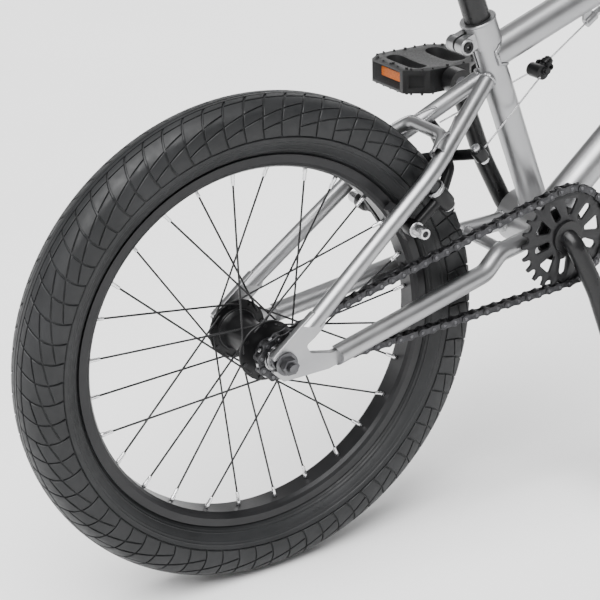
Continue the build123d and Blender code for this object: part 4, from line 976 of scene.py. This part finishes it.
# ---------------------------------------------------------------- seat
SEAT_TILT = math.radians(9)
SHELL_TOP = 32         # the cloth is held below this height over the pivot
CLOTH_FRAMES = 20
SEAT_FORWARD = np.array((math.cos(SEAT_TILT), 0, math.sin(SEAT_TILT)))
SEAT_RISE = np.array((-math.sin(SEAT_TILT), 0, math.cos(SEAT_TILT)))
SEAT_PIVOT = PIVOT["seat_tilt"] * (1, 0, 1)


def on_seat(forward, side, up):
    return SEAT_PIVOT + (SEAT_FORWARD * forward + SIDE * side + SEAT_RISE * up) * MM


def inflate(piece, limit):
    """Cloth under slight pressure, held where the pad meets the shell; no point moves further than limit."""
    before = points_of(piece.data)
    held = piece.vertex_groups.new(name="held")
    height = (before - SEAT_PIVOT) @ SEAT_RISE / MM
    held.add([int(index) for index in np.nonzero(height < SHELL_TOP)[0]], 1.0, "REPLACE")
    cloth = piece.modifiers.new("cloth", "CLOTH")
    cloth.settings.use_pressure = True
    cloth.settings.uniform_pressure_force = 4
    cloth.settings.quality = 6
    cloth.settings.vertex_group_mass = "held"
    cloth.settings.effector_weights.gravity = 0
    scene = bpy.context.scene
    scene.frame_start, scene.frame_end = 1, CLOTH_FRAMES
    for step in range(1, CLOTH_FRAMES + 1):
        scene.frame_set(step)
    move = points_of(evaluated_mesh(piece)) - before
    length = np.linalg.norm(move, axis=1)[:, None]
    move *= np.minimum(1, limit / np.maximum(length, 1e-9))
    piece.modifiers.remove(cloth)
    move_points(piece.data, before + move)
    scene.frame_set(1)


def seat_pad():
    """The stuffed cover: simulated cloth, then sewn lines pressed into it, with piping and stitches on them."""
    pad = add_object("seat_forming", frame["nodes"]["seat_cover"].data.copy())
    remesh = pad.modifiers.new("remesh", "REMESH")
    remesh.mode = "VOXEL"
    remesh.voxel_size = 0.005
    smooth = pad.modifiers.new("smooth", "SMOOTH")
    smooth.factor, smooth.iterations = 0.5, 6
    mesh = evaluated_mesh(pad)
    pad.modifiers.clear()
    pad.data = mesh
    # start a little lower and narrower than the space, because the cloth swells
    points = points_of(mesh)
    away = points - on_seat(-20, 0, 30)
    up = away @ SEAT_RISE
    flat = away - np.outer(up, SEAT_RISE)
    move_points(mesh, points - np.outer(np.maximum(up, 0) * 0.12, SEAT_RISE) - flat * 0.018)
    inflate(pad, 0.006)
    subdivide = pad.modifiers.new("subdivide", "SUBSURF")
    subdivide.levels = subdivide.render_levels = 1
    mesh = evaluated_mesh(pad)
    bpy.data.objects.remove(pad)
    points = points_of(mesh)
    local = points - SEAT_PIVOT
    forward, side, up = (local @ axis / MM for axis in (SEAT_FORWARD, SIDE, SEAT_RISE))
    seam = np.abs(np.abs(side) - seam_offset(forward))
    on_top = np.clip((up - 44) / 6, 0, 1)
    press = 2.2 * np.exp(-(seam / 2.6) ** 2) * on_top
    crown = 2.2 * np.exp(-(side / (0.8 * seam_offset(forward))) ** 2) * on_top
    points = points + np.outer((crown - press) * MM, SEAT_RISE)
    move_points(mesh, points)
    cover = settle(mesh, "seat_padded_cover", CLOTH, "seat", ("seat_cover",), smooth_angle=80)
    corners = [tuple(point) for point in points]
    seat_trim(BVHTree.FromPolygons(corners, [tuple(face.vertices) for face in mesh.polygons]))


def seat_trim(tree):
    """Piping round the pad and stitches along its seams, laid on the surface in tree."""
    def landed(origin, way):
        hit = tree.ray_cast(Vector(origin), Vector(way))[0]
        return None if hit is None else np.array(hit)

    piping, stitches = Shape(), Shape()
    loop = []
    for turn in full_turn(150):
        origin = on_seat(-10 + 88.5 * math.cos(turn), 0, 42)
        out = SEAT_FORWARD * math.cos(turn) + SIDE * math.sin(turn)
        spot = landed(origin + out * 0.3, -out)
        if spot is not None:
            loop.append(spot)
    piping.sweep(loop + loop[:2], 1.5 * MM, 10)
    for edge in (-1, 1):
        for forward_at in np.arange(-112, 108, 5.0):
            for lane in (-3.0, 3.0):
                ends = [landed(on_seat(along, edge * (seam_offset(along) + lane), 90), -SEAT_RISE)
                        for along in (forward_at, forward_at + 3.0)]
                if ends[0] is not None and ends[1] is not None:
                    ends = [end + SEAT_RISE * 0.1 * MM for end in ends]
                    middle = (ends[0] + ends[1]) / 2 + SEAT_RISE * 0.35 * MM
                    stitches.sweep([ends[0], middle, ends[1]], np.array((0.35, 0.5, 0.35)) * MM, 6)
    piping.build("seat_piping", RUBBER, "seat", slot="seat_fabric", smooth_angle=60)
    stitches.build("seat_stitches", THREAD, "seat", smooth_angle=60)


def seam_offset(forward):
    """How far each sewn line stands from the middle of the seat."""
    return np.interp(forward, (-132, -75, -20, 40, 90, 130), (30, 34, 25, 15, 11, 6))


# ---------------------------------------------------------------- brake housing
HOUSING_ROUTE = [
    (394.84, 0, 250.36), (409, 0, 258.7), (437, 0, 269.0), (489, -2, 285.5), (548, -11, 306), (604, -25, 331),
    (652, -37, 362), (694, -43, 398), (728, -45, 440), (743, -42, 492), (733, -46, 545), (716, -62, 590),
    (697, -88, 622), (682.6, -128.3, 638.3), (675.2, -165.3, 638.4),
]


def housing():
    """The outer of the rear brake cable, from the frame's stop to the lever."""
    curve = bpy.data.curves.new("housing_line", "CURVE")
    curve.dimensions = "3D"
    curve.bevel_depth = 2.5 * MM
    curve.bevel_resolution = 4
    curve.resolution_u = 12
    spline = curve.splines.new("NURBS")
    spline.points.add(len(HOUSING_ROUTE) - 1)
    for point, place in zip(spline.points, HOUSING_ROUTE):
        point.co = (*placed(place), 1)
    spline.order_u = 3
    spline.use_endpoint_u = True
    curve.use_fill_caps = True
    line = add_object("housing_line", curve)
    mesh = evaluated_mesh(line)
    bpy.data.objects.remove(line)
    piece = add_object("brake_outer_cable", mesh)
    mesh.materials.clear()
    mesh.materials.append(RUBBER)
    mesh.shade_smooth()
    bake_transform(piece)
    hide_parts("brake_housing")
    for name, body, end, inner, foot in (
            ("housing_ferrule", "frame", HOUSING_ROUTE[0], HOUSING_ROUTE[1], -3.0),
            ("lever_ferrule", "steering", HOUSING_ROUTE[-1], HOUSING_ROUTE[-2], -2.0)):
        ferrule = Shape()
        profile = [(2.6, foot), (3.6, foot + 0.4), (3.6, 9), (3.1, 9.6), (2.4, 10)]
        ferrule.lathe(profile, placed(end), np.subtract(inner, end), 20)
        ferrule.build(name, STEEL, body, slot="steel")


# ---------------------------------------------------------------- stage
def plain_floor():
    material = new_material("studio_floor", (0.93, 0.93, 0.93), 0.6)
    vary(material, "Roughness", noise(material, 3, 2), 0.55, 0.65)
    mesh = bpy.data.meshes.new("floor")
    size = 30
    corners = [(-size, -size, 0), (size, -size, 0), (size, size, 0), (-size, size, 0)]
    mesh.from_pydata(corners, [], [(0, 1, 2, 3)])
    mesh.materials.append(material)
    floor = add_object("floor", mesh)


def area_light(name, place, target, size, power):
    data = bpy.data.lights.new(name, "AREA")
    data.shape = "RECTANGLE"
    data.size, data.size_y = size
    data.energy = power
    light = add_object(name, data)
    light.location = place
    light.rotation_mode = "QUATERNION"
    light.rotation_quaternion = (Vector(target) - Vector(place)).to_track_quat("-Z", "Y")


def studio():
    """Surroundings bright at the horizon and overhead, a broad panel above, and two soft boxes."""
    world = bpy.data.worlds.new("studio")
    bpy.context.scene.world = world
    world.use_nodes = True
    nodes, links = world.node_tree.nodes, world.node_tree.links
    place = nodes.new("ShaderNodeTexCoord")
    split = nodes.new("ShaderNodeSeparateXYZ")
    ramp = nodes.new("ShaderNodeValToRGB")
    first, last = ramp.color_ramp.elements
    first.position, first.color = 0.1, (2.9, 2.9, 2.9, 1)
    last.position, last.color = 0.85, (1, 1, 1, 1)
    for position, level in ((0.14, 0.06), (0.45, 0.22)):
        ramp.color_ramp.elements.new(position).color = (level, level, level, 1)
    links.new(place.outputs["Generated"], split.inputs["Vector"])
    links.new(split.outputs["Z"], ramp.inputs["Fac"])
    links.new(ramp.outputs["Color"], nodes["Background"].inputs["Color"])
    nodes["Background"].inputs["Strength"].default_value = 0.75
    sun = bpy.data.lights.new("sky_panel", "SUN")
    sun.energy = 7.0
    sun.angle = math.radians(55)
    panel = add_object("sky_panel", sun)
    panel.rotation_euler = (math.radians(14), math.radians(-22), 0)
    area_light("key", (-1.9, -1.5, 1.6), (-0.2, 0, 0.3), (0.5, 1.6), 14)
    area_light("rim", (1.6, 2.2, 1.6), (-0.1, 0, 0.3), (2.0, 0.5), 14)


def camera():
    data = bpy.data.cameras.new("camera")
    data.lens = 105.67
    data.sensor_width = 36
    view = add_object("camera", data)
    yaw, pitch, roll = (math.radians(value) for value in (29.591, 23.294, -1.919))
    forward = Vector((math.sin(yaw) * math.cos(pitch), math.cos(yaw) * math.cos(pitch), -math.sin(pitch)))
    level = Vector((math.cos(yaw), -math.sin(yaw), 0))
    upright = level.cross(forward)
    right = level * math.cos(roll) + upright * math.sin(roll)
    up = upright * math.cos(roll) - level * math.sin(roll)
    turn = Matrix((right, up, -forward)).transposed().to_4x4()
    view.matrix_world = Matrix.Translation(Vector(REAR_AXLE) + Vector((-0.70232, -1.32724, 0.68582))) @ turn
    bpy.context.scene.camera = view


# ---------------------------------------------------------------- everything
tyre("rear_treaded", "rear_wheel", REAR_AXLE)
tyre("front_treaded", "front_wheel", FRONT_AXLE)
wheel_spokes("rear", "rear_wheel", REAR_AXLE, -26, 33, 26.0)
wheel_spokes("front", "front_wheel", FRONT_AXLE, -31, 31, 17.5)
hub("rear", "rear_wheel", REAR_AXLE, -26, 33, 29.5, 17, -33.8, 48.5)
hub("front", "front_wheel", FRONT_AXLE, -31, 31, 21, 13, -44, 44)
valve("rear_valve", "rear_wheel", REAR_AXLE)
valve("front_valve", "front_wheel", FRONT_AXLE)
chain()
welds()
pedal("left", 1, "left_pedal")
pedal("right", -1, "right_pedal")
brake_fittings()
grips()
seat_pad()
housing()
for node, name, material, body, *rounding in (
        ("sprocket", "sprocket_machined", ALLOY, "crankset", 0.35, 2, 40),
        ("dropouts", "dropout_plates", SILVER, "frame", 0.6, 3, 40),
        ("rear_axle_nuts", "rear_nuts_turned", DARK, "frame", 0.5, 2, 40),
        ("front_axle_nuts", "front_nuts_turned", DARK, "steering", 0.5, 2, 40),
        ("driver_cog", "driver_cog_machined", STEEL, "driver", 0.35, 2, 40),
        ("stem", "stem_cast", ALLOY, "steering", 1.2, 3, 40),
        ("stem_faceplate", "stem_faceplate_cast", ALLOY, "steering", 1.0, 3, 40),
        ("lever_clamp", "lever_clamp_cast", GLOSS, "steering", 0.5, 2, 40)):
    softened(node, name, material, body, *rounding)
plain_floor()
studio()
camera()
